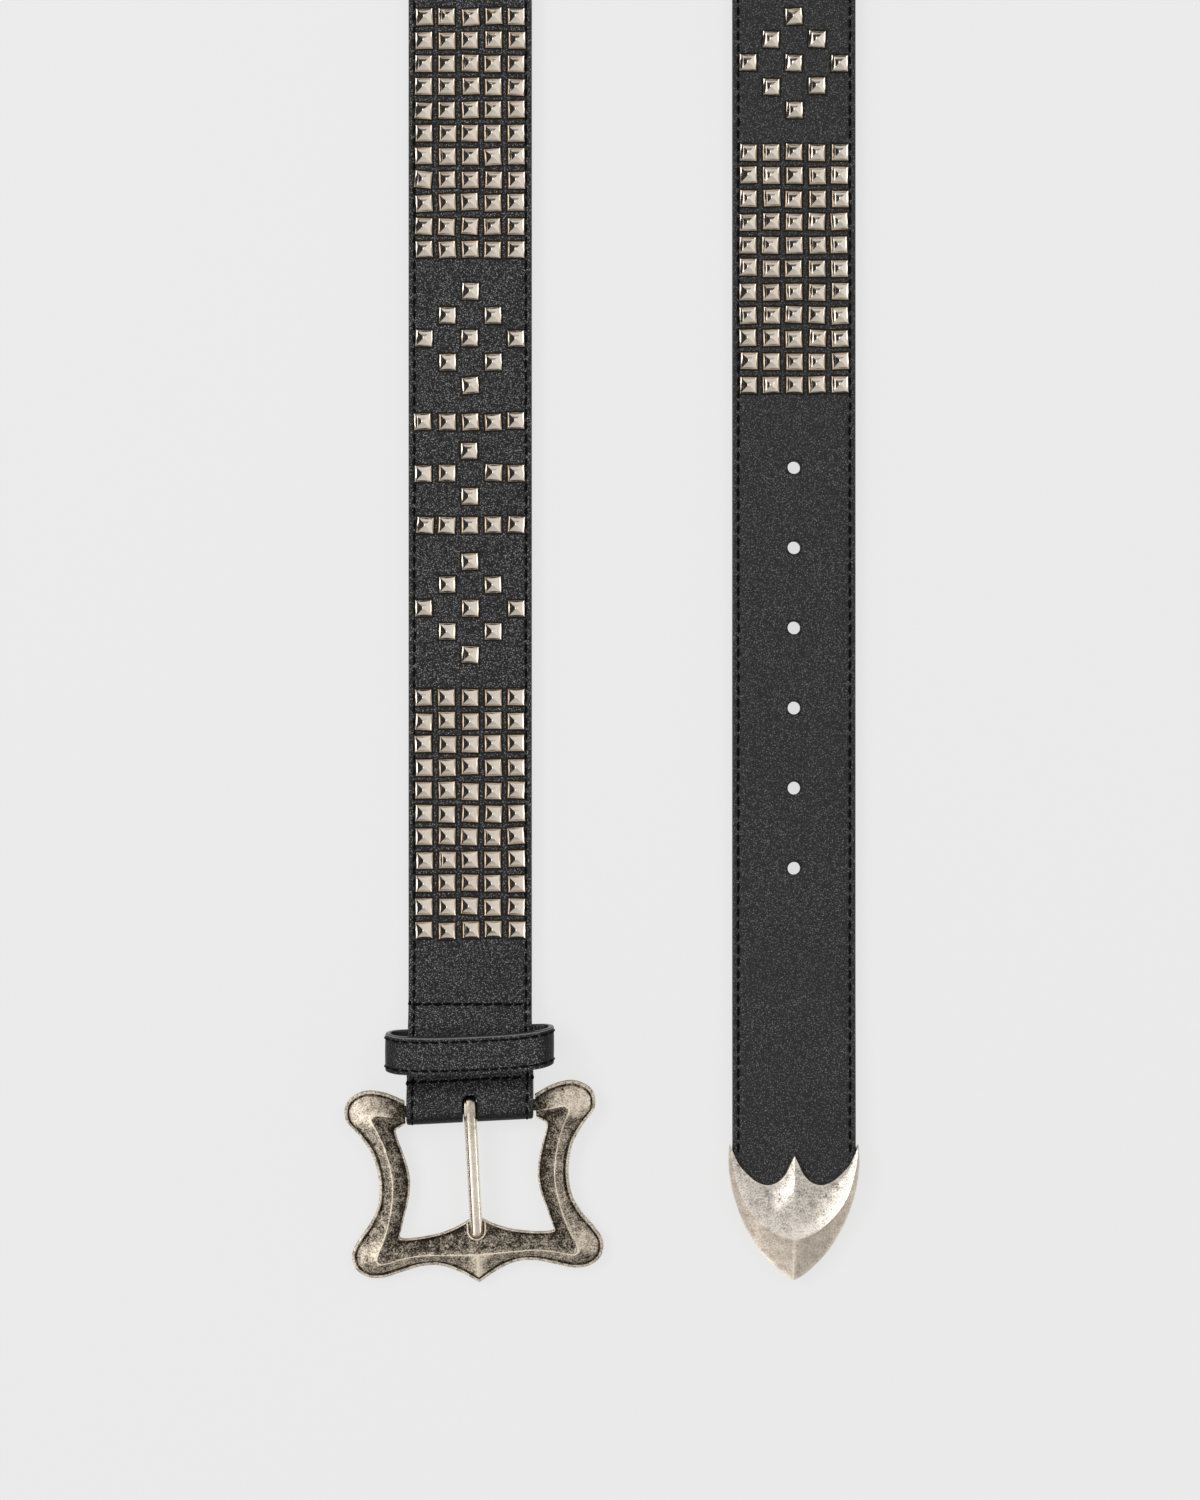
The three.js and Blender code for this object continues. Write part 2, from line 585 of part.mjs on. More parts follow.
function makeCap() {
  const pocketTop = capLift + STRAP_THICKNESS + CAP_CLEARANCE;
  const mouthHeight = pocketTop + CAP_FRONT_WALL;
  const crestHeight = mouthHeight + CAP_CREST_RISE;
  const contour = (name) => smoothThrough(
    CAP_SECTIONS.map((row) => [row[name][0] * CAP_HALF_WIDTH, row[name][1] * CAP_LENGTH]),
    CAP_STEPS,
  );
  const rim = contour("rim");
  const crest = contour("crest");
  const mouth = contour("mouth");
  const ribs = smoothThrough(CAP_SECTIONS.map((row) => [row.rib, 0]), CAP_STEPS);
  const half = rim.map((edge, i) => {
    const bowl = crest[i].clone().lerp(mouth[i], 0.5);
    const bowlHeight = mouthHeight - CAP_BOWL_SINK
      + (crestHeight - mouthHeight + CAP_BOWL_SINK) * ribs[i].x;
    const share = Math.min(1, i / CAP_STEPS);
    const crestTop = THREE.MathUtils.lerp(mouthHeight, crestHeight, share);
    return [
      new THREE.Vector3(edge.x, edge.y, 0),
      new THREE.Vector3(mouth[i].x, mouth[i].y, 0),
      new THREE.Vector3(mouth[i].x, mouth[i].y, mouthHeight),
      new THREE.Vector3(bowl.x, bowl.y, bowlHeight),
      new THREE.Vector3(crest[i].x, crest[i].y, crestTop),
      new THREE.Vector3(edge.x, edge.y, CAP_RIM_HEIGHT),
    ];
  });
  const cap = solidOf(loft(mirrored(half)));

  const pocketOutline = new THREE.Shape();
  const wide = STRAP_WIDTH / 2 + CAP_CLEARANCE;
  const narrow = (STRAP_WIDTH / 2) * STRAP_END_SHARE + CAP_CLEARANCE;
  const endUp = STRAP_END_INSET - CAP_CLEARANCE;
  pocketOutline.moveTo(-narrow, endUp);
  pocketOutline.lineTo(narrow, endUp);
  pocketOutline.lineTo(wide, STRAP_TAPER_START - CAP_CLEARANCE);
  pocketOutline.lineTo(wide, 2 * CAP_LENGTH);
  pocketOutline.lineTo(-wide, 2 * CAP_LENGTH);
  pocketOutline.lineTo(-wide, STRAP_TAPER_START - CAP_CLEARANCE);
  pocketOutline.closePath();
  const pocket = new THREE.ExtrudeGeometry(pocketOutline, {
    depth: pocketTop - CAP_BACK_WALL,
    bevelEnabled: false,
  });
  pocket.translate(0, 0, CAP_BACK_WALL);
  return geometryOf(cap.subtract(solidOf(pocket)));
}

// Materials, with the colours that the belt shows.
function plain(color, roughness, metalness) {
  return new THREE.MeshStandardMaterial({ color, roughness, metalness });
}

const leather = plain("#262626", 0.55, 0);
const liningLeather = plain("#1c1c1c", 0.7, 0);
const oldSilver = plain("#9a9184", 0.42, 1);
const paleSilver = plain("#c4bbab", 0.34, 1);

function named(name, geometry, material) {
  const mesh = new THREE.Mesh(geometry, material);
  mesh.name = name;
  return mesh;
}

const belt = new THREE.Group();
belt.add(named("studded_face", makeStuddedFace(), leather));
belt.add(named("lining", makeLining(), liningLeather));
belt.add(named("keeper_loop", makeKeeper(), leather));

// The buckle turns on its bar until the far end of its underside meets the surface below.
const buckle = new THREE.Group();
const drop = Math.asin((barHeight - FRAME_UNDERSIDE) / FRAME_REACH);
buckle.position.set(-legRadius, 0, barHeight);
buckle.rotation.set(drop, 0, BUCKLE_YAW, "ZYX");
buckle.add(named("buckle_frame", makeFrame(), oldSilver));
buckle.add(named("prong", makeProng(), paleSilver));
belt.add(buckle);

const cap = new THREE.Group();
cap.position.set(legRadius, -POINT_BELOW_BAR, 0);
cap.add(named("tip_cap", makeCap(), oldSilver));
belt.add(cap);

// The origin goes to the middle of the belt's box.
belt.updateMatrixWorld(true);
const middle = new THREE.Box3().setFromObject(belt, true).getCenter(new THREE.Vector3());
belt.position.set(-middle.x, -middle.y, 0);

export default belt;
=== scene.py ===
# %% [markdown]
# # A studded leather belt
# This lesson dresses a belt that lies unbuckled on a pale floor. The solids of the belt come from
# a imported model, which is loaded first. They give the real sizes and the joints, and every visible
# piece here is built on the same measures, so nothing has to be fitted by eye.
# Sizes are written in millimetres, as a belt maker would, and turned into metres in one place.

import json
import math

import bpy
import numpy as np
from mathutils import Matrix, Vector
from mathutils.bvhtree import BVHTree


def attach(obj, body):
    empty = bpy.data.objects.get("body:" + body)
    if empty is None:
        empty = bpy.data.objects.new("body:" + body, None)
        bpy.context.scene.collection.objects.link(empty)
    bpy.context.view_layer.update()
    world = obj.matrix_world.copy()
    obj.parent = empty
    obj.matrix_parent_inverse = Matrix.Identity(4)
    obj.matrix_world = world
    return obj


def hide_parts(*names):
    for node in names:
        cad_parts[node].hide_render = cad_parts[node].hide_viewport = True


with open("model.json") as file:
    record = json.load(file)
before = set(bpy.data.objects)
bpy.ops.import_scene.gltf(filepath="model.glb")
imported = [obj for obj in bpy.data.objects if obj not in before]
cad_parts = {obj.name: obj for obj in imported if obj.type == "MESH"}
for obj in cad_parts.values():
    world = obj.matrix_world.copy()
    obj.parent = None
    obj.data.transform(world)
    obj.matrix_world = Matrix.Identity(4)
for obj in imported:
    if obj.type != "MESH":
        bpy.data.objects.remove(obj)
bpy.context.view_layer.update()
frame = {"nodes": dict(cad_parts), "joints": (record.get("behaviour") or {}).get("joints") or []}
MM = 0.001
scene = bpy.context.scene
bar = np.array(frame["joints"][0]["pos_m"]) / MM
print("nodes:", sorted(frame["nodes"]), "bar at", bar.round(2))

# %% [markdown]
# ## The measures of the belt
# A belt is a long ribbon, so almost everything on it is placed by three numbers: how far along the
# strap it is, counted from the buckle's bar, how far aside from the middle line, and how high above
# the strap's underside. The strap lies flat in two legs. Between them it twists by a quarter turn
# and goes round a half circle on its edge.

# %% Measures of the strap
STRAP_WIDTH = 38.5
FACE_THICKNESS = 2.2
LINING_THICKNESS = 1.3
STRAP_THICKNESS = 3.8
LEG_RADIUS = 50.5
POINT_BELOW_BAR = 53.6
TWIST_LENGTH = 104
FIRST_ROW = 55.5
ROW_PITCH = 7.25
COLUMN_PITCH = 7.15
BLOCK_ROWS = 11
PATTERN_LENGTH = 139.6
PATTERN_REPEATS = 3
POINT_TO_HOLE = 128.3
HOLE_PITCH = 25
HOLE_COUNT = 6
BUCKLE_YAW = math.radians(3)
BAR_RADIUS = 1.8
FOLD_OUTER = 4.3
FOLD_INNER = 2.1
CAP_LENGTH = 42
CAP_LIFT = 1.1
STRAP_LENGTH = FIRST_ROW + 4 * 72.5 + 3 * PATTERN_LENGTH + 279
TURN_LENGTH = math.pi * LEG_RADIUS
TURN_START = (STRAP_LENGTH - TURN_LENGTH - POINT_BELOW_BAR) / 2
TURN_MIDDLE = TURN_START + TURN_LENGTH / 2
TWIST_START = TURN_MIDDLE - TURN_LENGTH * 0.28 - TWIST_LENGTH
LIFT_END = STRAP_LENGTH - CAP_LENGTH
LIFT_START = LIFT_END - 60
print("strap from the bar to the tip's point:", round(STRAP_LENGTH, 1), "mm")


# %% The route of the strap
def smooth_ramp(value, low, high):
    share = np.clip((value - low) / (high - low), 0, 1)
    return share * share * (3 - 2 * share)


def strap_frame(along):
    """The strap's underside in its middle, and the ways across it and out of its face."""
    along = np.asarray(along, float)
    turned = np.clip((along - TURN_START) / LEG_RADIUS, 0, math.pi)
    beyond = np.maximum(0, along - TURN_START - TURN_LENGTH)
    level = np.zeros_like(along)
    up = np.stack([level, level, level + 1], -1)
    forward = np.stack([np.sin(turned), np.cos(turned), level], -1)
    outward = np.stack([-np.cos(turned), np.sin(turned), level], -1)
    half_twist = TURN_MIDDLE - TWIST_START
    from_middle = np.abs(along - TURN_MIDDLE)
    twist = math.pi / 2 * (1 - smooth_ramp(from_middle, half_twist - TWIST_LENGTH, half_twist))
    face = up * np.cos(twist)[..., None] + outward * np.sin(twist)[..., None]
    across = np.cross(forward, face)
    middle = outward * LEG_RADIUS
    middle[..., 0] += LEG_RADIUS
    middle[..., 1] += np.minimum(along, TURN_START) - beyond
    middle[..., 2] += (STRAP_WIDTH * np.sin(twist) + STRAP_THICKNESS * np.cos(twist)) / 2
    middle[..., 2] += CAP_LIFT * smooth_ramp(along, LIFT_START, LIFT_END)
    return middle - face * (STRAP_THICKNESS / 2), across, face


def strap_place(along, aside, height):
    """Points on the strap, in millimetres in the belt's frame."""
    along, aside, height = np.broadcast_arrays(along, aside, height)
    underside, across, face = strap_frame(along)
    near_buckle = 1 - smooth_ramp(along, 9, 30)
    point = underside + across * (aside * (1 + 0.026 * near_buckle))[..., None]
    point = point + face * np.asarray(height, float)[..., None]
    point[..., 1] += aside * math.tan(BUCKLE_YAW) * near_buckle
    point[..., 0] += bar[0]
    point[..., 1] += bar[1]
    return point


print("middle of the turn:", strap_place(TURN_MIDDLE, 0, 0).round(1))

# %% [markdown]
# ## Camera, floor and light
# The belt is looked at from straight above with a long lens, as on a copy stand. The floor is
# plain and pale. Metal looks like metal only if there is something to reflect, so the sky round
# the table is painted as a studio: pale tents above and to the sides, and one dark gap on the left,
# which puts the dark facets into the studs. The camera itself sees a plain pale backdrop.

# %% Camera
CAMERA_HEIGHT = 1.2
FRAME_HEIGHT_MM = 467.6
camera_data = bpy.data.cameras.new("copy_stand")
camera_data.sensor_width = 36
camera_data.lens = 36 * CAMERA_HEIGHT / (FRAME_HEIGHT_MM * MM)
camera = bpy.data.objects.new("copy_stand", camera_data)
scene.collection.objects.link(camera)
looked_at = (bar + np.array([LEG_RADIUS - 10.0, 111.6, 0])) * MM
camera.location = (looked_at[0], looked_at[1], CAMERA_HEIGHT + STRAP_THICKNESS * MM)
scene.camera = camera
print("lens:", round(camera_data.lens, 1), "mm")

# %% Floor
floor_mesh = bpy.data.meshes.new("floor")
side = 4.0
corners = [(-side, -side, 0), (side, -side, 0), (side, side, 0), (-side, side, 0)]
floor_mesh.from_pydata([(x, y, -0.0002) for x, y, _ in corners], [], [(0, 1, 2, 3)])
floor = bpy.data.objects.new("floor", floor_mesh)
scene.collection.objects.link(floor)
floor_paint = bpy.data.materials.new("pale_floor")
floor_paint.use_nodes = True
floor_shader = floor_paint.node_tree.nodes["Principled BSDF"]
FLOOR_OWN, FLOOR_GLOW = 0.10, 0.711
floor_shader.inputs["Base Color"].default_value = (FLOOR_OWN, FLOOR_OWN, FLOOR_OWN, 1)
floor_shader.inputs["Emission Color"].default_value = (1, 1, 1, 1)
floor_shader.inputs["Emission Strength"].default_value = FLOOR_GLOW
floor_shader.inputs["Roughness"].default_value = 0.9
floor_shader.inputs["Specular IOR Level"].default_value = 0.0
floor_mesh.materials.append(floor_paint)

# %% Studio sky and lamps
scene.view_settings.view_transform = "Standard"
sky = bpy.data.worlds.new("studio")
scene.world = sky
sky.use_nodes = True
sky_nodes, sky_links = sky.node_tree.nodes, sky.node_tree.links
sky_nodes.clear()
direction = sky_nodes.new("ShaderNodeTexCoord")
split = sky_nodes.new("ShaderNodeSeparateXYZ")
sky_links.new(direction.outputs["Generated"], split.inputs[0])


def sky_angle(part):
    """How far a direction leans to one side, from 0 at one horizon to 1 at the other."""
    lean = sky_nodes.new("ShaderNodeMath")
    lean.operation = "ARCSINE"
    sky_links.new(split.outputs[part], lean.inputs[0])
    share = sky_nodes.new("ShaderNodeMapRange")
    share.inputs["From Min"].default_value = -math.pi / 2
    share.inputs["From Max"].default_value = math.pi / 2
    sky_links.new(lean.outputs[0], share.inputs["Value"])
    return share.outputs[0]


def sky_bands(part, bands):
    """Brightness in bands, each with the degrees from straight up at which it is reached."""
    band_ramp = sky_nodes.new("ShaderNodeValToRGB")
    sky_links.new(sky_angle(part), band_ramp.inputs[0])
    stops = band_ramp.color_ramp.elements
    for _ in bands[2:]:
        stops.new(0.5)
    for stop, (degrees, bright) in zip(stops, bands):
        stop.position = 0.5 + degrees / 180
        stop.color = (bright, bright, bright, 1)
    return band_ramp.outputs[0]


SIDE_BANDS = [(-90, 3.6), (-81, 3.6), (-78, 0.03), (-54, 0.03), (-51, 2.2), (-38, 2.0), (-27, 1.2), (-15, 0.85),
              (0, 0.72), (25, 0.66), (60, 0.78), (74, 0.8), (78, 3.0), (90, 3.0)]
LONG_BANDS = [(-90, 0.04), (-76, 0.06), (-68, 0.7), (-30, 0.9), (0, 1.0), (30, 1.1), (68, 0.92), (76, 0.06),
              (90, 0.04)]
tents = sky_nodes.new("ShaderNodeMix")
tents.data_type = "RGBA"
tents.blend_type = "MULTIPLY"
tents.inputs[0].default_value = 1
sky_links.new(sky_bands("X", SIDE_BANDS), tents.inputs[6])
sky_links.new(sky_bands("Y", LONG_BANDS), tents.inputs[7])
lit = sky_nodes.new("ShaderNodeBackground")
lit.inputs["Strength"].default_value = 1.0
sky_links.new(tents.outputs[2], lit.inputs["Color"])
backdrop = sky_nodes.new("ShaderNodeBackground")
backdrop.inputs["Color"].default_value = (0.83, 0.83, 0.83, 1)
seen = sky_nodes.new("ShaderNodeLightPath")
choose = sky_nodes.new("ShaderNodeMixShader")
sky_links.new(seen.outputs["Is Camera Ray"], choose.inputs[0])
sky_links.new(lit.outputs[0], choose.inputs[1])
sky_links.new(backdrop.outputs[0], choose.inputs[2])
sky_out = sky_nodes.new("ShaderNodeOutputWorld")
sky_links.new(choose.outputs[0], sky_out.inputs[0])


def soft_lamp(name, place, size, power):
    lamp_data = bpy.data.lights.new(name, "AREA")
    lamp_data.size = size
    lamp_data.energy = power
    lamp = bpy.data.objects.new(name, lamp_data)
    lamp.location = place
    lamp.rotation_euler = (-Vector(place)).to_track_quat("-Z", "Y").to_euler()
    lamp.visible_glossy = False
    scene.collection.objects.link(lamp)
    return lamp


soft_lamp("left_lamp", (-1.3, 0.5, 1.3), 0.7, 11)
soft_lamp("right_lamp", (1.4, 0.9, 1.6), 1.2, 9)
print("sky bands:", len(SIDE_BANDS), "by", len(LONG_BANDS))

# %% [markdown]
# ## Effects that several finishes share
# Leather has a pebble grain: small rounded cells with darker creases between them. Two Voronoi
# textures of different size, softened by noise, give its height. Old silver is dark where the
# polishing wheel didn't reach and bright on its ridges. Every metal piece carries a relief number
# at each point, 0 in a groove and 1 on a ridge, and one group turns it into a worn patina. On the
# face leather, the keeper and the rings round the studs, the same number is painted shade instead.
# Both are node groups, so each finish can use them with its own values.


# %% A helper for node groups
def new_group(name, inputs, outputs):
    group = bpy.data.node_groups.new(name, "ShaderNodeTree")
    for label, kind, value in inputs:
        socket = group.interface.new_socket(label, in_out="INPUT", socket_type=kind)
        socket.default_value = value
    for label, kind in outputs:
        group.interface.new_socket(label, in_out="OUTPUT", socket_type=kind)
    start = group.nodes.new("NodeGroupInput")
    end = group.nodes.new("NodeGroupOutput")
    return group, start, end


def add_node(tree, kind, settings=None, **links):
    """A node with its settings made, and its inputs joined to sockets or set to values."""
    node = tree.nodes.new(kind)
    for key, value in (settings or {}).items():
        setattr(node, key, value)
    for key, value in links.items():
        socket = node.inputs[int(key[1:])] if key[0] == "i" and key[1:].isdigit() else node.inputs[key.replace("_", " ")]
        if isinstance(value, bpy.types.NodeSocket):
            tree.links.new(value, socket)
        else:
            socket.default_value = value
    return node


def maths(tree, operation, first, second=0.0, clamp=False):
    node = add_node(tree, "ShaderNodeMath", {"operation": operation, "use_clamp": clamp}, i0=first, i1=second)
    return node.outputs[0]


def mixed(tree, share, first, second):
    node = add_node(tree, "ShaderNodeMix", {"data_type": "RGBA"}, i0=share, i6=first, i7=second)
    return node.outputs[2]


# %% Leather grain
grain, grain_in, grain_out = new_group(
    "leather_grain",
    [("Vector", "NodeSocketVector", (0, 0, 0)), ("Cells per metre", "NodeSocketFloat", 1700.0)],
    [("Height", "NodeSocketFloat"), ("Tops", "NodeSocketFloat"), ("Patches", "NodeSocketFloat")],
)
warp = add_node(grain, "ShaderNodeTexNoise", None, Vector=grain_in.outputs[0], Scale=900.0, Detail=2.0)
bent = add_node(grain, "ShaderNodeVectorMath", {"operation": "SCALE"}, i0=warp.outputs["Color"])
bent.inputs["Scale"].default_value = 0.0007
moved = add_node(grain, "ShaderNodeVectorMath", {"operation": "ADD"}, i0=grain_in.outputs[0], i1=bent.outputs[0])
cells = add_node(grain, "ShaderNodeTexVoronoi", {"feature": "SMOOTH_F1"}, Vector=moved.outputs[0],
                 Scale=grain_in.outputs[1], Smoothness=0.25)
dome = add_node(grain, "ShaderNodeMapRange", {"interpolation_type": "SMOOTHSTEP"}, Value=cells.outputs["Distance"])
dome.inputs["From Min"].default_value = 0.58
dome.inputs["From Max"].default_value = 0.16
# The pebble tops come out lighter in patches of this noise. This is partly the grain's own tone and partly a painted
# sheen.
bumps = add_node(grain, "ShaderNodeTexNoise", None, Vector=grain_in.outputs[0], Scale=2600.0, Detail=2.0)
polish_and_sheen = add_node(grain, "ShaderNodeMapRange", None, Value=bumps.outputs[0])
polish_and_sheen.inputs["From Min"].default_value = 0.42
polish_and_sheen.inputs["From Max"].default_value = 0.60
grain.links.new(maths(grain, "MULTIPLY", dome.outputs[0], polish_and_sheen.outputs[0]), grain_out.inputs["Tops"])
larger = maths(grain, "MULTIPLY", grain_in.outputs[1], 0.31)
folds = add_node(grain, "ShaderNodeTexVoronoi", {"feature": "DISTANCE_TO_EDGE"}, Vector=moved.outputs[0],
                 Scale=larger)
fold_line = maths(grain, "MINIMUM", folds.outputs["Distance"], 0.1)
grain.links.new(maths(grain, "ADD", maths(grain, "MULTIPLY", fold_line, 3.0), dome.outputs[0]),
                grain_out.inputs["Height"])
patches = add_node(grain, "ShaderNodeTexNoise", None, Vector=grain_in.outputs[0], Scale=45.0, Detail=3.0)
grain.links.new(patches.outputs[0], grain_out.inputs["Patches"])

# %% Worn patina
patina, patina_in, patina_out = new_group(
    "worn_patina",
    [("Vector", "NodeSocketVector", (0, 0, 0)), ("Relief", "NodeSocketFloat", 0.5),
     ("Mottle", "NodeSocketFloat", 0.5), ("Dark", "NodeSocketColor", (0.05, 0.04, 0.03, 1)),
     ("Bright", "NodeSocketColor", (0.7, 0.62, 0.5, 1))],
    [("Color", "NodeSocketColor"), ("Roughness", "NodeSocketFloat"), ("Height", "NodeSocketFloat"),
     ("Clean", "NodeSocketFloat")],
)
clouds = add_node(patina, "ShaderNodeTexNoise", None, Vector=patina_in.outputs[0], Scale=380.0, Detail=4.0,
                  Roughness=0.6)
specks = add_node(patina, "ShaderNodeTexNoise", None, Vector=patina_in.outputs[0], Scale=1900.0, Detail=3.0,
                  Roughness=0.75)
spots = maths(patina, "ADD", maths(patina, "MULTIPLY", clouds.outputs[0], 0.5),
              maths(patina, "MULTIPLY", specks.outputs[0], 1.0))
swing = maths(patina, "MULTIPLY", maths(patina, "SUBTRACT", spots, 0.75), 4.6)
cleaned = maths(patina, "ADD", patina_in.outputs["Relief"],
                maths(patina, "MULTIPLY", swing, patina_in.outputs["Mottle"]), clamp=True)
patina.links.new(mixed(patina, cleaned, patina_in.outputs["Dark"], patina_in.outputs["Bright"]),
                 patina_out.inputs["Color"])
rough = add_node(patina, "ShaderNodeMapRange", None, Value=cleaned)
rough.inputs["To Min"].default_value = 0.58
rough.inputs["To Max"].default_value = 0.3
patina.links.new(rough.outputs[0], patina_out.inputs["Roughness"])
patina.links.new(specks.outputs[0], patina_out.inputs["Height"])
patina.links.new(cleaned, patina_out.inputs["Clean"])
print("groups:", [g.name for g in bpy.data.node_groups])

# %% [markdown]
# ## The finishes
# Each finish is a Principled shader of its own. The leather is nearly black and half matt, with a
# soft sheen on the tops of its pebbles: a real coat, and a painted sheen in their lighter colour.
# The cut edges are sealed with a smooth black paint. The thread is black too, and duller. The
# castings are antiqued silver, and the studs and the prong are the same metal with more polish
# and less patina.


# %% A helper for finishes
def new_finish(name):
    finish = bpy.data.materials.new(name)
    finish.use_nodes = True
    tree = finish.node_tree
    shader = tree.nodes["Principled BSDF"]
    place = tree.nodes.new("ShaderNodeTexCoord").outputs["Object"]
    return finish, tree, shader, place


def use_group(tree, group, **links):
    node = tree.nodes.new("ShaderNodeGroup")
    node.node_tree = group
    for key, value in links.items():
        socket = node.inputs[key.replace("_", " ")]
        if isinstance(value, bpy.types.NodeSocket):
            tree.links.new(value, socket)
        else:
            socket.default_value = value
    return node


MEAN_TOPS = 0.04


def leather_finish(name, dark, light, roughness, bump, cells_per_metre, shine, shaded=False):
    finish, tree, shader, place = new_finish(name)
    skin = use_group(tree, grain, Vector=place, Cells_per_metre=cells_per_metre)
    worn = add_node(tree, "ShaderNodeMapRange", None, Value=skin.outputs["Patches"])
    worn.inputs["From Min"].default_value = 0.3
    worn.inputs["From Max"].default_value = 0.7
    worn.inputs["To Min"].default_value = 0.75
    tops = maths(tree, "MULTIPLY", skin.outputs["Tops"], worn.outputs[0])
    # The base colour runs from dark in the creases to light on the pebble tops. This is partly grain tone and partly
    # a painted sheen.
    color = mixed(tree, tops, dark, light)
    if shaded:
        # With shaded, the attribute read here is painted shade. Where it is low, the leather is mixed toward near
        # black.
        shade = add_node(tree, "ShaderNodeAttribute", {"attribute_name": "relief_and_shade"}).outputs["Fac"]
        calm = add_node(tree, "ShaderNodeAttribute", {"attribute_name": "calm"}).outputs["Fac"]
        toward_mean = maths(tree, "MULTIPLY", maths(tree, "SUBTRACT", MEAN_TOPS, tops), calm)
        tops = maths(tree, "MULTIPLY", maths(tree, "ADD", tops, toward_mean), shade)
        color = mixed(tree, maths(tree, "ADD", tops, 0.0), dark, light)
        color = mixed(tree, shade, (0.002, 0.002, 0.002, 1), color)
    tree.links.new(color, shader.inputs["Base Color"])
    tree.links.new(maths(tree, "MULTIPLY", tops, shine), shader.inputs["Coat Weight"])
    shader.inputs["Coat Roughness"].default_value = 0.34
    shader.inputs["Roughness"].default_value = roughness
    shader.inputs["Specular IOR Level"].default_value = 0.2
    press = add_node(tree, "ShaderNodeBump", None, Height=skin.outputs["Height"], Strength=bump,
                     Distance=0.00013)
    tree.links.new(press.outputs[0], shader.inputs["Normal"])
    return finish


# %% Leathers, edge paint and thread
# FACE_LIGHT colours the pebble tops. It is partly grain tone and partly a painted sheen.
FACE_DARK, FACE_LIGHT = (0.010, 0.010, 0.0103, 1), (0.268, 0.268, 0.272, 1)
FACE_GRAIN = 1950.0
face_leather = leather_finish("face_leather", FACE_DARK, FACE_LIGHT, 0.5, 0.8, FACE_GRAIN, 1.0)
shaded_leather = leather_finish("shaded_leather", FACE_DARK, FACE_LIGHT, 0.5, 0.8, FACE_GRAIN, 1.0, shaded=True)
lining_leather = leather_finish("lining_leather", (0.011, 0.0105, 0.010, 1), (0.03, 0.029, 0.028, 1), 0.6,
                                0.45, 2300.0, 0.3)


def plain_black(name, color, roughness, scale, bump):
    finish, tree, shader, place = new_finish(name)
    noise = add_node(tree, "ShaderNodeTexNoise", None, Vector=place, Scale=scale, Detail=3.0)
    lighter = tuple(1.6 * c for c in color[:3]) + (1,)
    tree.links.new(mixed(tree, noise.outputs[0], color, lighter), shader.inputs["Base Color"])
    shader.inputs["Roughness"].default_value = roughness
    press = add_node(tree, "ShaderNodeBump", None, Height=noise.outputs[0], Strength=bump, Distance=0.0001)
    tree.links.new(press.outputs[0], shader.inputs["Normal"])
    return finish


edge_paint = plain_black("edge_paint", (0.014, 0.014, 0.014, 1), 0.28, 700.0, 0.35)
# A lighter edge paint for one bevel of the keeper. It is a painted highlight where the edge catches the light.
edge_highlight = plain_black("edge_highlight", (0.085, 0.085, 0.085, 1), 0.35, 900.0, 0.3)
thread = plain_black("thread", (0.0022, 0.0022, 0.0024, 1), 0.9, 5200.0, 0.8)
thread.node_tree.nodes["Principled BSDF"].inputs["Specular IOR Level"].default_value = 0.08


# %% Metals
def metal_finish(name, dark, bright, mottle, roughness_scale, bump, relief_and_shade=None):
    finish, tree, shader, place = new_finish(name)
    if relief_and_shade is None:
        relief_and_shade = add_node(tree, "ShaderNodeAttribute", {"attribute_name": "relief_and_shade"}).outputs["Fac"]
    worn = use_group(tree, patina, Vector=place, Relief=relief_and_shade, Mottle=mottle, Dark=dark, Bright=bright)
    tree.links.new(worn.outputs["Color"], shader.inputs["Base Color"])
    rubbed = maths(tree, "MULTIPLY", worn.outputs["Roughness"], roughness_scale)
    tree.links.new(rubbed, shader.inputs["Roughness"])
    shader.inputs["Metallic"].default_value = 1.0
    press = add_node(tree, "ShaderNodeBump", None, Height=worn.outputs["Height"], Strength=bump,
                     Distance=0.0001)
    tree.links.new(press.outputs[0], shader.inputs["Normal"])
    return finish


antique_silver = metal_finish("antique_silver", (0.040, 0.031, 0.024, 1), (0.95, 0.83, 0.67, 1), 0.56, 1.38, 0.3)
cap_silver = metal_finish("cap_silver", (0.19, 0.155, 0.135, 1), (0.98, 0.90, 0.80, 1), 0.66, 0.60, 0.25)
matt_silver = metal_finish("matt_silver", (0.30, 0.25, 0.20, 1), (0.98, 0.87, 0.74, 1), 0.34, 1.15, 0.4)
stud_nickel = metal_finish("stud_nickel", (0.30, 0.17, 0.07, 1), (0.90, 0.81, 0.70, 1), 0.06, 0.27, 0.03)
prong_nickel = metal_finish("prong_nickel", (0.2, 0.15, 0.11, 1), (0.95, 0.85, 0.71, 1), 0.27, 0.66, 0.08)
print("finishes:", len(bpy.data.materials))

# %% [markdown]
# ## Making meshes
# Most pieces here are lofts: the same closed outline, changed a little from one station to the
# next. One helper joins such rings into a skin with closed ends. A second one copies one small
# shape many times into a single mesh, which keeps hundreds of stitches and studs light.


# %% Mesh helpers
def outward(points, faces):
    """The same faces, all turned the other way if they face into the body."""
    points = np.asarray(points, float)
    fans = np.array([(f[0], b, c) for f in faces for b, c in zip(f[1:], f[2:])])
    first, second, third = points[fans.T]
    if np.einsum("ij,ij->", first, np.cross(second, third)) > 0:
        return [tuple(map(int, face)) for face in faces]
    return [tuple(map(int, reversed(face))) for face in faces]


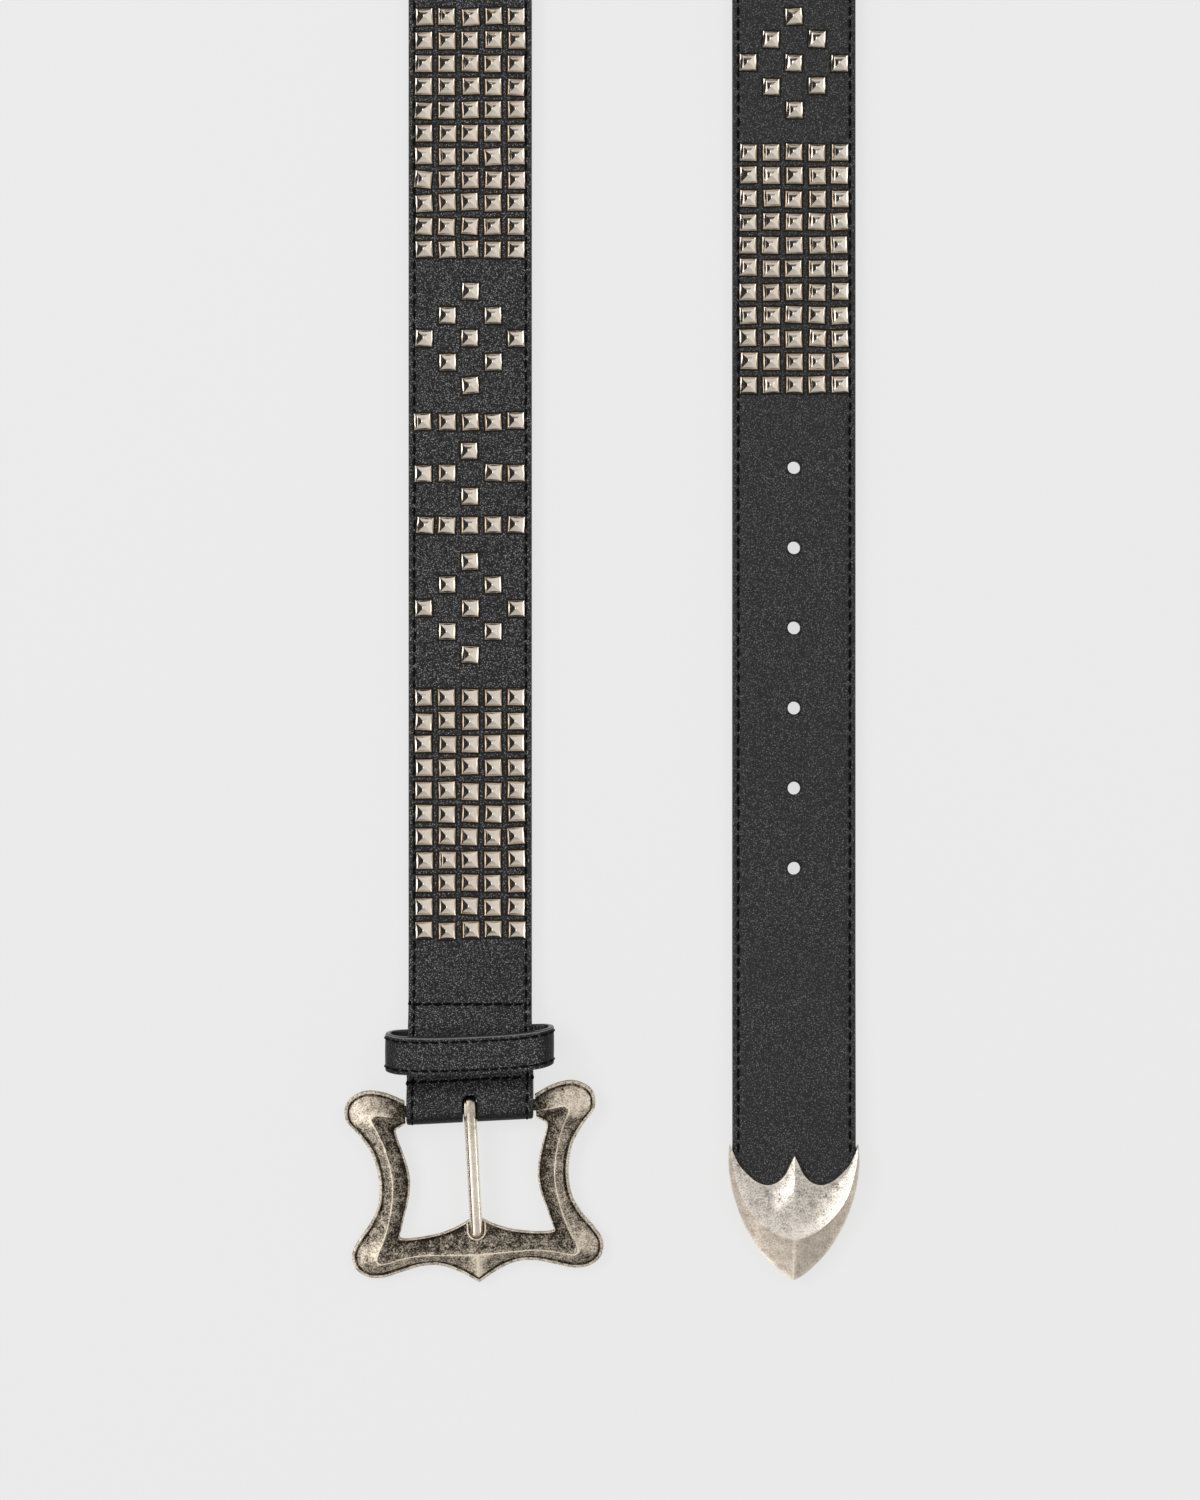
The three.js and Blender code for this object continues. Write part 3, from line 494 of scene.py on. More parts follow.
def make_piece(name, points, faces, finishes, body, finish_of_face=None, sharp=40.0, relief_and_shade=None,
               calm=None):
    mesh = bpy.data.meshes.new(name)
    mesh.from_pydata((np.asarray(points, float) * MM).tolist(), [], outward(points, faces))
    for finish in finishes:
        mesh.materials.append(finish)
    if finish_of_face is not None:
        mesh.polygons.foreach_set("material_index", np.asarray(finish_of_face, np.int32))
    for label, values in (("relief_and_shade", relief_and_shade), ("calm", calm)):
        if values is not None:
            mark = mesh.attributes.new(label, "FLOAT", "POINT")
            mark.data.foreach_set("value", np.asarray(values, np.float32))
    mesh.validate()
    mesh.shade_smooth()
    mesh.set_sharp_from_angle(angle=math.radians(sharp))
    piece = bpy.data.objects.new(name, mesh)
    scene.collection.objects.link(piece)
    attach(piece, body)
    print(f"{name}: {len(mesh.polygons)} faces")
    return piece


def loft_faces(stations, around, closed_ends=True, closed_path=False):
    """Faces of a skin over rings of points. The rings run anticlockwise seen from the first one."""
    faces = []
    spans = stations if closed_path else stations - 1
    for i in range(spans):
        here, there = i * around, ((i + 1) % stations) * around
        for j in range(around):
            k = (j + 1) % around
            faces.append((here + j, there + j, there + k, here + k))
    if closed_ends and not closed_path:
        faces.append(tuple(range(around)))
        faces.append(tuple(reversed(range((stations - 1) * around, stations * around))))
    return faces


def smooth_through(points, steps):
    """Points on a smooth curve through the given ones, a share of the way from each to the next."""
    points = np.asarray(points, float)
    padded = np.vstack([2 * points[0] - points[1], points, 2 * points[-1] - points[-2]])
    curve = []
    for i in range(1, len(padded) - 2):
        p0, p1, p2, p3 = padded[i - 1:i + 3]
        gaps = [max(1e-6, np.linalg.norm(b - a) ** 0.5) for a, b in ((p0, p1), (p1, p2), (p2, p3))]
        start = (p1 - p0) / gaps[0] - (p2 - p0) / (gaps[0] + gaps[1]) + (p2 - p1) / gaps[1]
        end = (p2 - p1) / gaps[1] - (p3 - p1) / (gaps[1] + gaps[2]) + (p3 - p2) / gaps[2]
        start, end = start * gaps[1], end * gaps[1]
        for step in range(steps):
            t = step / steps
            blend = [2 * t**3 - 3 * t**2 + 1, t**3 - 2 * t**2 + t, 3 * t**2 - 2 * t**3, t**3 - t**2]
            curve.append(blend[0] * p1 + blend[1] * start + blend[2] * p2 + blend[3] * end)
    curve.append(points[-1])
    return np.array(curve)


def tubes(paths, ups, radius, sides=6):
    """Many short round tubes in one mesh. paths is a grid of points, one row for each tube."""
    ahead = np.gradient(paths, axis=1)
    ahead /= np.linalg.norm(ahead, axis=-1, keepdims=True)
    aside = np.cross(ahead, ups)
    aside /= np.linalg.norm(aside, axis=-1, keepdims=True)
    above = np.cross(aside, ahead)
    turn = np.linspace(0, 2 * math.pi, sides, endpoint=False)
    ring = np.cos(turn)[:, None] * aside[:, :, None] + np.sin(turn)[:, None] * above[:, :, None]
    points = paths[:, :, None] + ring * radius
    count, length = paths.shape[:2]
    one = loft_faces(length, sides)
    faces = [tuple(v + i * length * sides for v in face) for i in range(count) for face in one]
    return points.reshape(-1, 3), faces


def cut_with(piece, cutters):
    """Cuts the cutters out of the piece for good, and throws the cutters away."""
    for cutter in cutters:
        knife = piece.modifiers.new("cut", "BOOLEAN")
        knife.operation = "DIFFERENCE"
        knife.solver = "MANIFOLD"
        knife.object = cutter
    bpy.context.view_layer.update()
    shown = piece.evaluated_get(bpy.context.evaluated_depsgraph_get())
    cut_mesh = bpy.data.meshes.new_from_object(shown)
    piece.modifiers.clear()
    cut_mesh.name = piece.name
    piece.data = cut_mesh
    piece.data.set_sharp_from_angle(angle=math.radians(40))
    for cutter in cutters:
        bpy.data.objects.remove(cutter)


def plain_solid(name, points, faces):
    mesh = bpy.data.meshes.new(name)
    mesh.from_pydata((np.asarray(points, float) * MM).tolist(), [], outward(points, faces))
    solid = bpy.data.objects.new(name, mesh)
    scene.collection.objects.link(solid)
    return solid


# %% [markdown]
# ## The face leather
# The top ply is one long strip. It starts underneath as a short tail, goes round the buckle's bar,
# over the keeper's back, and then runs to the tip. Its side view is a row of stations, each with a
# point on the grain side and one on the flesh side. The outline across the strap has rounded,
# painted edges and a shallow groove where the edge stitches lie.

# %% Side view of the face leather
tail = np.array([[s, 0, s, FACE_THICKNESS] for s in np.linspace(34.5, 1.5, 14)])
turn = np.radians(np.linspace(-90, -270, 19))
fold = np.stack([FOLD_OUTER * np.cos(turn), bar[2] + FOLD_OUTER * np.sin(turn),
                 FOLD_INNER * np.cos(turn), bar[2] + FOLD_INNER * np.sin(turn)], 1)
over = smooth_through([(0, 8.6), (4.5, 8.0), (8.9, 5.35), (11.5, 5.9), (15, 6.8), (20, 6.9), (26, 6.7),
                       (32.4, 4.55), (38, 4.0), (46, STRAP_THICKNESS)], 7)[1:]
over = np.column_stack([over, over[:, 0], over[:, 1] - FACE_THICKNESS])
over[:, 3] = np.minimum(over[:, 3], np.where(np.abs(over[:, 0] - 8.9) < 1.6, 2.9, 9))


def run_stations(start, end):
    """Stations along the strap, four to each stitch."""
    return np.append(np.arange(start, end - 0.5, STITCH_PITCH / 4), end)


STITCH_PITCH = 3.85
STITCH_FILL = 0.74
STRAP_END = STRAP_LENGTH - 16
run = run_stations(49.0, STRAP_END)
SEAM = LINING_THICKNESS + 0.16
flat_run = np.column_stack([run, np.full_like(run, STRAP_THICKNESS), run, np.full_like(run, SEAM)])
side_view = np.vstack([tail, fold, over, flat_run])
print("stations of the face leather:", len(side_view))

# %% Outline across the strap
# Each row is a distance in from the edge, a share of the thickness, 0 on the flesh side, and how
# far that share sinks where a stitch lies.
EDGE_OUTLINE = [(0.35, 0.0, 0), (0.05, 0.12, 0), (0.0, 0.4, 0), (0.02, 0.68, 0), (0.14, 0.84, 0), (0.38, 0.95, 0),
                (0.75, 0.995, 0), (1.15, 1.0, 0.01), (1.5, 0.99, 0.08), (1.85, 0.975, 0.14),
                (2.2, 0.99, 0.08), (2.7, 1.0, 0.01), (5.5, 1.0, 0)]
STITCH_IN = 1.85
# Columns between the two edges, as shares of the half width. The close ones in the middle keep the
# faces round a punched hole small.
MIDDLE_COLUMNS = [-0.66, -0.33, -0.135, 0, 0.135, 0.33, 0.66]


def half_width(along):
    taper_start = STRAP_LENGTH - 34
    narrowed = np.clip((along - taper_start) / (STRAP_END - taper_start), 0, 1)
    return STRAP_WIDTH / 2 * (1 - 0.42 * narrowed)


def walked_along(view):
    """The distance walked along the grain side, up to each station."""
    step = np.hypot(np.diff(view[:, 0]), np.diff(view[:, 1]))
    return np.concatenate([[0], np.cumsum(step)])


def strip_points(view, outline, seam_start):
    """Rings of points round a strip, from its side view and the outline of its edge."""
    inset, share, sink = (np.array(column, float) for column in zip(*outline))
    level, middle = np.ones(len(MIDDLE_COLUMNS)), np.zeros(len(MIDDLE_COLUMNS))
    spread = np.concatenate([-np.ones(len(inset)), MIDDLE_COLUMNS, np.ones(len(inset)), [0.3, -0.3]])
    inset = np.concatenate([inset, middle, inset[::-1], [0, 0]])
    share = np.concatenate([share, level, share[::-1], [0, 0]])
    sink = np.concatenate([sink, middle, sink[::-1], [0, 0]])
    phase = (walked_along(view) - seam_start) / STITCH_PITCH - STITCH_FILL / 2
    wave = 0.5 + 0.5 * np.cos(2 * math.pi * phase)
    share = share - sink * wave[:, None]
    on_edge = np.abs(spread) == 1
    half = half_width(view[:, 0])[:, None]
    aside = np.where(on_edge, spread * (half - inset), spread * half)
    along = view[:, [2]] + (view[:, [0]] - view[:, [2]]) * share
    height = view[:, [3]] + (view[:, [1]] - view[:, [3]]) * share
    return strap_place(along, aside, height), share.shape[1]


def edge_faces(stations, around, outline_length):
    """Which finish each face of a strip has: 1 on its painted edges, 0 elsewhere."""
    painted = np.zeros(around, int)
    painted[:4] = 1
    last = 2 * outline_length + len(MIDDLE_COLUMNS)
    painted[last - 5:last - 1] = 1
    return np.concatenate([np.tile(painted, stations - 1), [1, 1]])


# %% The face leather's mesh
SEAM_START = walked_along(side_view)[len(tail) + len(fold) // 2]
# The lower half of the fold's bend and the tail beneath are painted darker, down to FOLD_SHADE. This is painted
# shade.
FOLD_SHADE = 0.12
bent = np.zeros(len(side_view))
bent[:len(tail)] = 1
bent[len(tail):len(tail) + len(fold)] = smooth_ramp(np.degrees(turn) + 270, 8, 50)
CALM_FREE_END = 0.48
beyond_turn = smooth_ramp(side_view[:, 0], TURN_MIDDLE - 60, TURN_MIDDLE + 60)
rings, around = strip_points(side_view, EDGE_OUTLINE, SEAM_START)
faces = loft_faces(len(side_view), around)
face_ply = make_piece("face_leather", rings.reshape(-1, 3), faces, [shaded_leather, edge_paint], "strap",
                      finish_of_face=edge_faces(len(side_view), around, len(EDGE_OUTLINE)),
                      relief_and_shade=np.repeat(1 - (1 - FOLD_SHADE) * bent, around),
                      calm=np.repeat(CALM_FREE_END * beyond_turn, around))
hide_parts("studded_face")

# %% [markdown]
# ## The lining
# The back of the strap is a thinner, smoother ply. It butts against the end of the tail, and it is
# sewn and painted together with the face, so the two meshes almost touch along the seam.

# %% The lining's mesh
lining_run = run_stations(36.0, STRAP_END)
lining_view = np.column_stack([lining_run, np.zeros_like(lining_run), lining_run,
                               np.full_like(lining_run, SEAM - 0.04)])
LINING_OUTLINE = [(0.12, 0.0, 0), (0.0, 0.3, 0), (0.03, 0.62, 0), (0.2, 0.88, 0), (0.5, 0.99, 0), (1.1, 1.0, 0),
                  (1.5, 0.98, 0.08), (1.85, 0.9, 0.16), (2.2, 0.98, 0.08), (2.8, 1.0, 0), (5.5, 1.0, 0)]
LINING_SEAM_START = 1.5
rings, around = strip_points(lining_view, LINING_OUTLINE, LINING_SEAM_START)
faces = loft_faces(len(lining_view), around)
lining_ply = make_piece("lining_leather", rings.reshape(-1, 3), faces, [lining_leather, edge_paint], "strap",
                        finish_of_face=edge_faces(len(lining_view), around, len(LINING_OUTLINE)))
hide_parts("lining")


# %% [markdown]
# ## Punched holes and the prong's slot
# Six holes are punched through both plies, and a slot in the fold lets the prong reach the bar.
# Real cutters take the leather out, so the floor shows through the holes from above.

# %% Cutters
def punches(places, radius, corners=40):
    """All the round punches in one mesh, each through the whole thickness."""
    turn = np.linspace(0, 2 * math.pi, corners, endpoint=False)
    rings, faces = [], []
    for number, along in enumerate(places):
        for height in (-6, 12):
            rings.append(strap_place(along + radius * np.sin(turn), radius * np.cos(turn), height))
        faces += [tuple(v + number * 2 * corners for v in f) for f in loft_faces(2, corners)]
    return plain_solid("punches", np.vstack(rings), faces)


def slot_cutter(name, half, end, low, high):
    """A slot from beyond the fold to its round end on the strap, between two heights."""
    corner = np.radians(np.linspace(0, 180, 13))
    outline = [(half * math.cos(a), end - half + half * math.sin(a)) for a in corner]
    outline = np.array(outline + [(-half, -9), (half, -9)])
    rings = [strap_place(outline[:, 1], outline[:, 0], h) for h in (low, high)]
    return plain_solid(name, np.vstack(rings), loft_faces(2, len(outline)))


hole_places = [STRAP_LENGTH - POINT_TO_HOLE - i * HOLE_PITCH for i in range(HOLE_COUNT)]
top_slot = slot_cutter("top_slot", 2.2, 4.4, 4.0, 18)
under_slot = slot_cutter("under_slot", 2.2, 4.15, -6, 4.1)
cut_with(face_ply, [top_slot, under_slot, punches(hole_places, 2.0)])
cut_with(lining_ply, [punches(hole_places, 2.0)])
print("after cutting:", len(face_ply.data.polygons), len(lining_ply.data.polygons))

# %% [markdown]
# ## Stitches
# A machine stitch is a short bridge of thread between two needle holes. It comes up out of the
# leather, lies in the groove and dives down again. Each one is a small bent tube. They run along
# both edges on the face and on the lining, in two rows across the buckle end, and round the keeper.


# %% Edge stitches
random = np.random.default_rng(11)
STITCH_RISE = np.array([-0.6, -0.2, 0.02, 0.08, 0.02, -0.2, -0.6])
STITCH_ALONG = np.array([0.0, 0.05, 0.2, 0.5, 0.8, 0.95, 1.0])


def surface_points(view, walked, distance):
    """The place in the side view at distances walked along the grain side."""
    along = np.interp(distance, walked, view[:, 0])
    height = np.interp(distance, walked, view[:, 1])
    tilt_s = np.interp(distance, walked, view[:, 0] - view[:, 2])
    tilt_h = np.interp(distance, walked, view[:, 1] - view[:, 3])
    thick = np.maximum(1e-6, np.hypot(tilt_s, tilt_h))
    return along, height, tilt_s / thick, tilt_h / thick, thick


def edge_stitches(view, start, end, aside_of, sunk):
    walked = walked_along(view)
    count = int((end - start) / STITCH_PITCH)
    begins = start + STITCH_PITCH * np.arange(count) + random.normal(0, 0.05, count)
    at = begins[:, None] + STITCH_FILL * STITCH_PITCH * STITCH_ALONG[None]
    along, height, lean_s, lean_h, _ = surface_points(view, walked, at)
    rise = STITCH_RISE - sunk
    slant = random.normal(0.0, 0.05, (count, 1)) + 0.09 * (STITCH_ALONG - 0.5)
    aside = aside_of(along) + slant
    points = strap_place(along + lean_s * rise, aside, height + lean_h * rise)
    above = strap_place(along + lean_s * (rise + 1), aside, height + lean_h * (rise + 1)) - points
    return points, above


def on_seam(sign):
    return lambda along: sign * (half_width(along) - STITCH_IN)


def sew(name, parts, radius=0.4):
    paths, ups = (np.vstack(column) for column in zip(*parts))
    points, faces = tubes(paths, ups, radius)
    return make_piece(name, points, faces, [thread], "strap", sharp=80)


seam_end = walked_along(side_view)[-1] - 20
sew("edge_stitches", [edge_stitches(side_view, SEAM_START, seam_end, on_seam(sign), 0.2) for sign in (-1, 1)])

# %% Stitches on the back
lining_end = walked_along(lining_view)[-1] - 20
tail_view = side_view[:len(tail)]
back = [edge_stitches(lining_view, LINING_SEAM_START, lining_end, on_seam(sign), 0.3) for sign in (-1, 1)]
back += [edge_stitches(tail_view, 0.5, 32.0, on_seam(sign), 0.3) for sign in (-1, 1)]
sew("back_stitches", back, radius=0.27)


# %% Rows across the buckle end
def cross_row(along, pitch, half):
    """A row of stitches across the strap, on the grain side over the keeper's back."""
    count = int(2 * half / pitch)
    begins = -half + pitch * np.arange(count) + random.normal(0, 0.05, count)
    aside = begins[:, None] + 0.74 * pitch * STITCH_ALONG[None]
    stations = along + random.normal(0, 0.05, (count, 1)) + 0.22 * (STITCH_ALONG - 0.5)
    top_at = np.interp(stations, over[:, 0], over[:, 1])
    rise = top_at + STITCH_RISE + 0.08
    points = strap_place(stations, aside, rise)
    return points, strap_place(stations, aside, rise + 1) - points


sew("cross_stitches", [cross_row(32.4, 3.15, 17.6), cross_row(8.9, 3.15, 18.6)], radius=0.44)


# %% Knots where the lower row ends
def small_ball(center, radius, squeeze=(1, 1, 1), rows=8, columns=12):
    tilt = np.linspace(0, math.pi, rows)[1:-1]
    spin = np.linspace(0, 2 * math.pi, columns, endpoint=False)
    rings = np.stack([np.sin(tilt)[:, None] * np.cos(spin), np.sin(tilt)[:, None] * np.sin(spin),
                      np.cos(tilt)[:, None] * np.ones(columns)], -1)
    points = rings * radius * np.array(squeeze) + center
    return points.reshape(-1, 3), loft_faces(rows - 2, columns)


knot_points, knot_faces = [], []
for aside, along in ((-19.0, 8.7), (19.0, 8.7), (-18.8, 32.6), (18.6, 32.3)):
    top_at = np.interp(along, over[:, 0], over[:, 1])
    for shift, size in ((0, 0.55), (0.45, 0.4)):
        center = strap_place(along + shift, aside, top_at - 0.05 - shift * 0.3)
        points, faces = small_ball(center, size, (1.0, 1.2, 0.8))
        knot_faces += [tuple(v + sum(len(p) for p in knot_points) for v in f) for f in faces]
        knot_points.append(points)
make_piece("thread_knots", np.vstack(knot_points), knot_faces, [thread], "strap", sharp=80)

# %% [markdown]
# ## The studs
# Each stud is a pressed metal pyramid on a square foot. Its sides are a little hollow, its corners
# are drawn out, and its rim rolls down into the leather. They are set by hand in a press, so each
# one sits a touch turned and tilted. One stud is modelled as square rings from the foot up to the
# point, and it is then placed hundreds of times into one mesh.

# %% One stud
# Each row is half the width at that height, the height above the leather, how far the sides are
# drawn in between the corners, and how clean the metal is there.
STUD_RINGS = [
    (2.70, -0.50, 0.00, 0.15),
    (2.77, 0.00, 0.04, 0.30),
    (2.74, 0.36, 0.14, 0.42),
    (2.67, 0.51, 0.23, 0.52),
    (2.55, 0.655, 0.29, 0.62),
    (2.40, 0.79, 0.31, 0.78),
    (2.20, 0.93, 0.28, 0.95),
    (1.75, 1.12, 0.18, 0.95),
    (1.30, 1.31, 0.09, 0.95),
    (0.85, 1.59, 0.05, 0.95),
    (0.40, 1.87, 0.02, 0.96),
    (0.18, 1.97, 0.01, 0.97),
    (0.04, 1.99, 0.00, 0.97),
]
SIDE_STEPS = 6


def square_ring(half, height, drawn_in):
    ring = []
    corners = [(1, -1), (1, 1), (-1, 1), (-1, -1)]
    for k in range(4):
        a, b = np.array(corners[k]), np.array(corners[(k + 1) % 4])
        inward = -(a + b) / 2
        for step in range(SIDE_STEPS):
            t = step / SIDE_STEPS
            bow = drawn_in * (1 - (2 * t - 1) ** 2)
            x, y = (a + (b - a) * t) * half + inward * bow
            ring.append((x, y, height))
    return ring


stud_points = np.array([p for half, height, drawn, _ in STUD_RINGS for p in square_ring(half, height, drawn)])
stud_relief = np.repeat([row[3] for row in STUD_RINGS], 4 * SIDE_STEPS)
stud_faces = loft_faces(len(STUD_RINGS), 4 * SIDE_STEPS)
print("one stud:", len(stud_faces), "faces")

# %% Where the studs go
PATTERN_ROWS = [
    (0.095, (3,)), (0.147, (2, 4)), (0.199, (1, 3, 5)), (0.251, (2, 4)), (0.303, (3,)),
    (0.385, (1, 2, 3, 4, 5)),
    (0.448, (3,)), (0.5, (1, 2, 4, 5)), (0.552, (3,)),
    (0.615, (1, 2, 3, 4, 5)),
    (0.697, (3,)), (0.749, (2, 4)), (0.801, (1, 3, 5)), (0.853, (2, 4)), (0.905, (3,)),
]
block_length = (BLOCK_ROWS - 1) * ROW_PITCH
places = []
for block in range(PATTERN_REPEATS + 1):
    start = FIRST_ROW + block * (block_length + PATTERN_LENGTH)
    places += [(start + row * ROW_PITCH, column) for row in range(BLOCK_ROWS) for column in range(1, 6)]
    if block < PATTERN_REPEATS:
        for share, columns in PATTERN_ROWS:
            places += [(start + block_length + share * PATTERN_LENGTH, column) for column in columns]
print("studs:", len(places))

# %% Setting the studs
# Round each stud lies a flat ring of near-black leather. This is painted shade where the stud shades the leather
# beside it.
STUD_SHADE_RINGS = [(2.66, 0.0), (2.92, 0.15), (3.25, 1.0)]
shade_ring_points = np.array([p[:2] for half, _ in STUD_SHADE_RINGS for p in square_ring(half, 0, 0)])
shade_ring_values = np.repeat([shade for _, shade in STUD_SHADE_RINGS], 4 * SIDE_STEPS)
shade_ring_faces = loft_faces(len(STUD_SHADE_RINGS), 4 * SIDE_STEPS, closed_ends=False)
all_points, all_faces, all_relief, all_shade_rings = [], [], [], []
for number, (along, column) in enumerate(places):
    aside = (column - 3) * COLUMN_PITCH + random.normal(0, 0.13)
    along = along + random.normal(0, 0.16)
    spot = strap_place(along, aside, STRAP_THICKNESS)
    ahead = strap_place(along + 0.5, aside, STRAP_THICKNESS) - strap_place(along - 0.5, aside, STRAP_THICKNESS)
    ahead /= np.linalg.norm(ahead)
    right = strap_place(along, aside + 0.5, STRAP_THICKNESS) - strap_place(along, aside - 0.5, STRAP_THICKNESS)
    out = np.cross(right, ahead)
    out /= np.linalg.norm(out)
    right = np.cross(ahead, out)
    spin = random.normal(0, math.radians(1.8))
    x_way = right * math.cos(spin) + ahead * math.sin(spin)
    y_way = ahead * math.cos(spin) - right * math.sin(spin)
    tip_x, tip_y = random.normal(0, 0.026, 2)
    local = stud_points.copy()
    local[:, 2] += tip_x * local[:, 0] + tip_y * local[:, 1]
    local[:, :2] *= 1 + random.normal(0, 0.008)
    world = spot + local[:, [0]] * x_way + local[:, [1]] * y_way + local[:, [2]] * out
    all_faces += [tuple(v + number * len(stud_points) for v in f) for f in stud_faces]
    all_points.append(world)
    all_relief.append(stud_relief + random.normal(0, 0.03))
    ring_aside = shade_ring_points[:, 0] * math.cos(spin) - shade_ring_points[:, 1] * math.sin(spin)
    ring_along = shade_ring_points[:, 1] * math.cos(spin) + shade_ring_points[:, 0] * math.sin(spin)
    all_shade_rings.append(strap_place(along + ring_along, aside + ring_aside, STRAP_THICKNESS + 0.015))
studs = make_piece("studs", np.vstack(all_points), all_faces, [stud_nickel], "strap",
                   sharp=27, relief_and_shade=np.concatenate(all_relief))
all_shade_ring_faces = [tuple(v + i * len(shade_ring_points) for v in f) for i in range(len(places)) for f in shade_ring_faces]
make_piece("stud_shade_rings", np.vstack(all_shade_rings), all_shade_ring_faces, [shaded_leather], "strap",
           relief_and_shade=np.tile(shade_ring_values, len(places)))

# %% [markdown]
# ## The keeper loop
# The keeper is a leather band bent into a flat ring. Its back runs between the strap's two layers
# and its front stands over them with room for the free end. The front leans toward the buckle and
# sags in its middle. The band's outline is swept round a rectangle with round corners.

# %% Measures of the keeper
KEEPER_WIDTH = 11.9
KEEPER_HALF_SPAN = 26.2
KEEPER_THICKNESS = 1.8
KEEPER_BOTTOM = 2.5
KEEPER_TOP = 13.4
KEEPER_CORNER = 5.0
KEEPER_POSITION = 19.4
KEEPER_LEAN = 0.085
KEEPER_SAG = 1.6
KEEPER_YAW = math.radians(2.4)


def keeper_ring(inset, count):
    """Evenly spaced points round the keeper as seen from the strap's end, set in from outside."""
    half, low, high = KEEPER_HALF_SPAN - inset, KEEPER_BOTTOM + inset, KEEPER_TOP - inset
    corner = KEEPER_CORNER - inset
    quarter = np.radians(np.linspace(0, 90, 13))
    centers = [(half - corner, low + corner, -90), (half - corner, high - corner, 0),
               (corner - half, high - corner, 90), (corner - half, low + corner, 180)]
    outline = []
    for x, z, first in centers:
        angle = quarter + math.radians(first)
        outline += list(zip(x + corner * np.cos(angle), z + corner * np.sin(angle)))
    outline = np.array(outline + outline[:1])
    walked = np.concatenate([[0], np.cumsum(np.hypot(*np.diff(outline, axis=0).T))])
    at = np.linspace(0, walked[-1], count, endpoint=False)
    return np.column_stack([np.interp(at, walked, outline[:, 0]), np.interp(at, walked, outline[:, 1])])


def keeper_place(x, along_band, z):
    """A point of the keeper, from its place in the end view and across the band."""
    raised = np.maximum(0, z - KEEPER_BOTTOM - KEEPER_THICKNESS / 2)
    sag = KEEPER_SAG * (1 - np.abs(x / KEEPER_HALF_SPAN) ** 3) * raised / (KEEPER_TOP - KEEPER_BOTTOM - 0.9)
    y = KEEPER_POSITION + along_band + x * math.tan(KEEPER_YAW) - raised * KEEPER_LEAN - sag
    return np.stack([x + bar[0], y + bar[1], z], -1)


# %% The keeper's mesh
# Each row is a distance across the band from its middle, as a share, and the depth from outside.
BAND_OUTLINE = [(-1.0, 0.9), (-0.995, 0.45), (-0.965, 0.14), (-0.91, 0.02), (-0.84, 0.0), (-0.78, 0.03),
                (-0.74, 0.09), (-0.70, 0.03), (-0.62, 0.0), (-0.3, -0.06), (0, -0.08), (0.3, -0.06), (0.62, 0.0),
                (0.70, 0.03), (0.74, 0.09), (0.78, 0.03), (0.84, 0.0), (0.91, 0.02), (0.965, 0.14), (0.995, 0.45),
                (1.0, 0.9), (0.99, 1.5), (0.93, 1.8), (0.0, 1.8), (-0.93, 1.8), (-0.99, 1.5)]
KEEPER_STATIONS = 150
sections = []
for share, depth in BAND_OUTLINE:
    ring = keeper_ring(max(0.0, depth), KEEPER_STATIONS)
    lifted = ring + (ring - keeper_ring(0.5, KEEPER_STATIONS)) * (-depth if depth < 0 else 0)
    sections.append(keeper_place(lifted[:, 0], share * KEEPER_WIDTH / 2, lifted[:, 1]))
rings = np.stack(sections, 1)
faces = loft_faces(KEEPER_STATIONS, len(BAND_OUTLINE), closed_path=True)
painted = np.zeros(len(BAND_OUTLINE), int)
painted[[0, 1, 18, 19, 20, 21, 24, 25]] = 1
# Face 17 takes the lighter paint. It is the bevel of the band's edge toward the top of the view, and the paint is a
# painted highlight.
painted[17] = 2
# The keeper's curved ends are painted darker. This is painted shade where the band turns round its corners.
keeper_end_shade = smooth_ramp(np.abs(keeper_ring(0, KEEPER_STATIONS)[:, 0]) / KEEPER_HALF_SPAN, 0.80, 0.93)
keeper = make_piece("keeper_band", rings.reshape(-1, 3), faces, [shaded_leather, edge_paint, edge_highlight], "strap",
                    finish_of_face=np.tile(painted, KEEPER_STATIONS),
                    relief_and_shade=np.repeat(1 - 0.6 * keeper_end_shade, len(BAND_OUTLINE)))
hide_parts("keeper_loop")

# %% Stitches round the keeper
path = keeper_ring(0.06, 400)
closed = np.vstack([path, path[:1]])
walked = np.concatenate([[0], np.cumsum(np.hypot(*np.diff(closed, axis=0).T))])
KEEPER_PITCH = 3.1
count = int(walked[-1] / KEEPER_PITCH)
inner = keeper_ring(1.06, 400)
inner = np.vstack([inner, inner[:1]])
parts = []
for edge in (-0.74, 0.74):
    begins = 0.5 + KEEPER_PITCH * np.arange(count) + random.normal(0, 0.05, count)
    at = (begins[:, None] + 0.74 * KEEPER_PITCH * STITCH_ALONG[None]) % walked[-1]
    x, z = np.interp(at, walked, closed[:, 0]), np.interp(at, walked, closed[:, 1])
    out_x, out_z = x - np.interp(at, walked, inner[:, 0]), z - np.interp(at, walked, inner[:, 1])
    rise = STITCH_RISE + 0.02
    across_band = edge * KEEPER_WIDTH / 2 + 0.08 * (STITCH_ALONG - 0.5) + 0 * at
    points = keeper_place(x + out_x * rise, across_band, z + out_z * rise)
    parts.append((points, keeper_place(x + out_x * (rise + 1), across_band, z + out_z * (rise + 1)) - points))
sew("keeper_stitches", parts, radius=0.36)

# %% [markdown]
# ## The buckle frame
# The frame is one casting with a lobe at each corner and a point at the far side. A ridge runs all
# the way round between an outer slope and a steeper inner one, and both outlines have a thin raised
# lip with a dark line beside it. Three outlines, outer, ridge and inner, are drawn as smooth curves
# through the same stations, and a fine section is strung between them. Where the section goes up
# the relief goes up too, so the patina knows the grooves from the ridges.

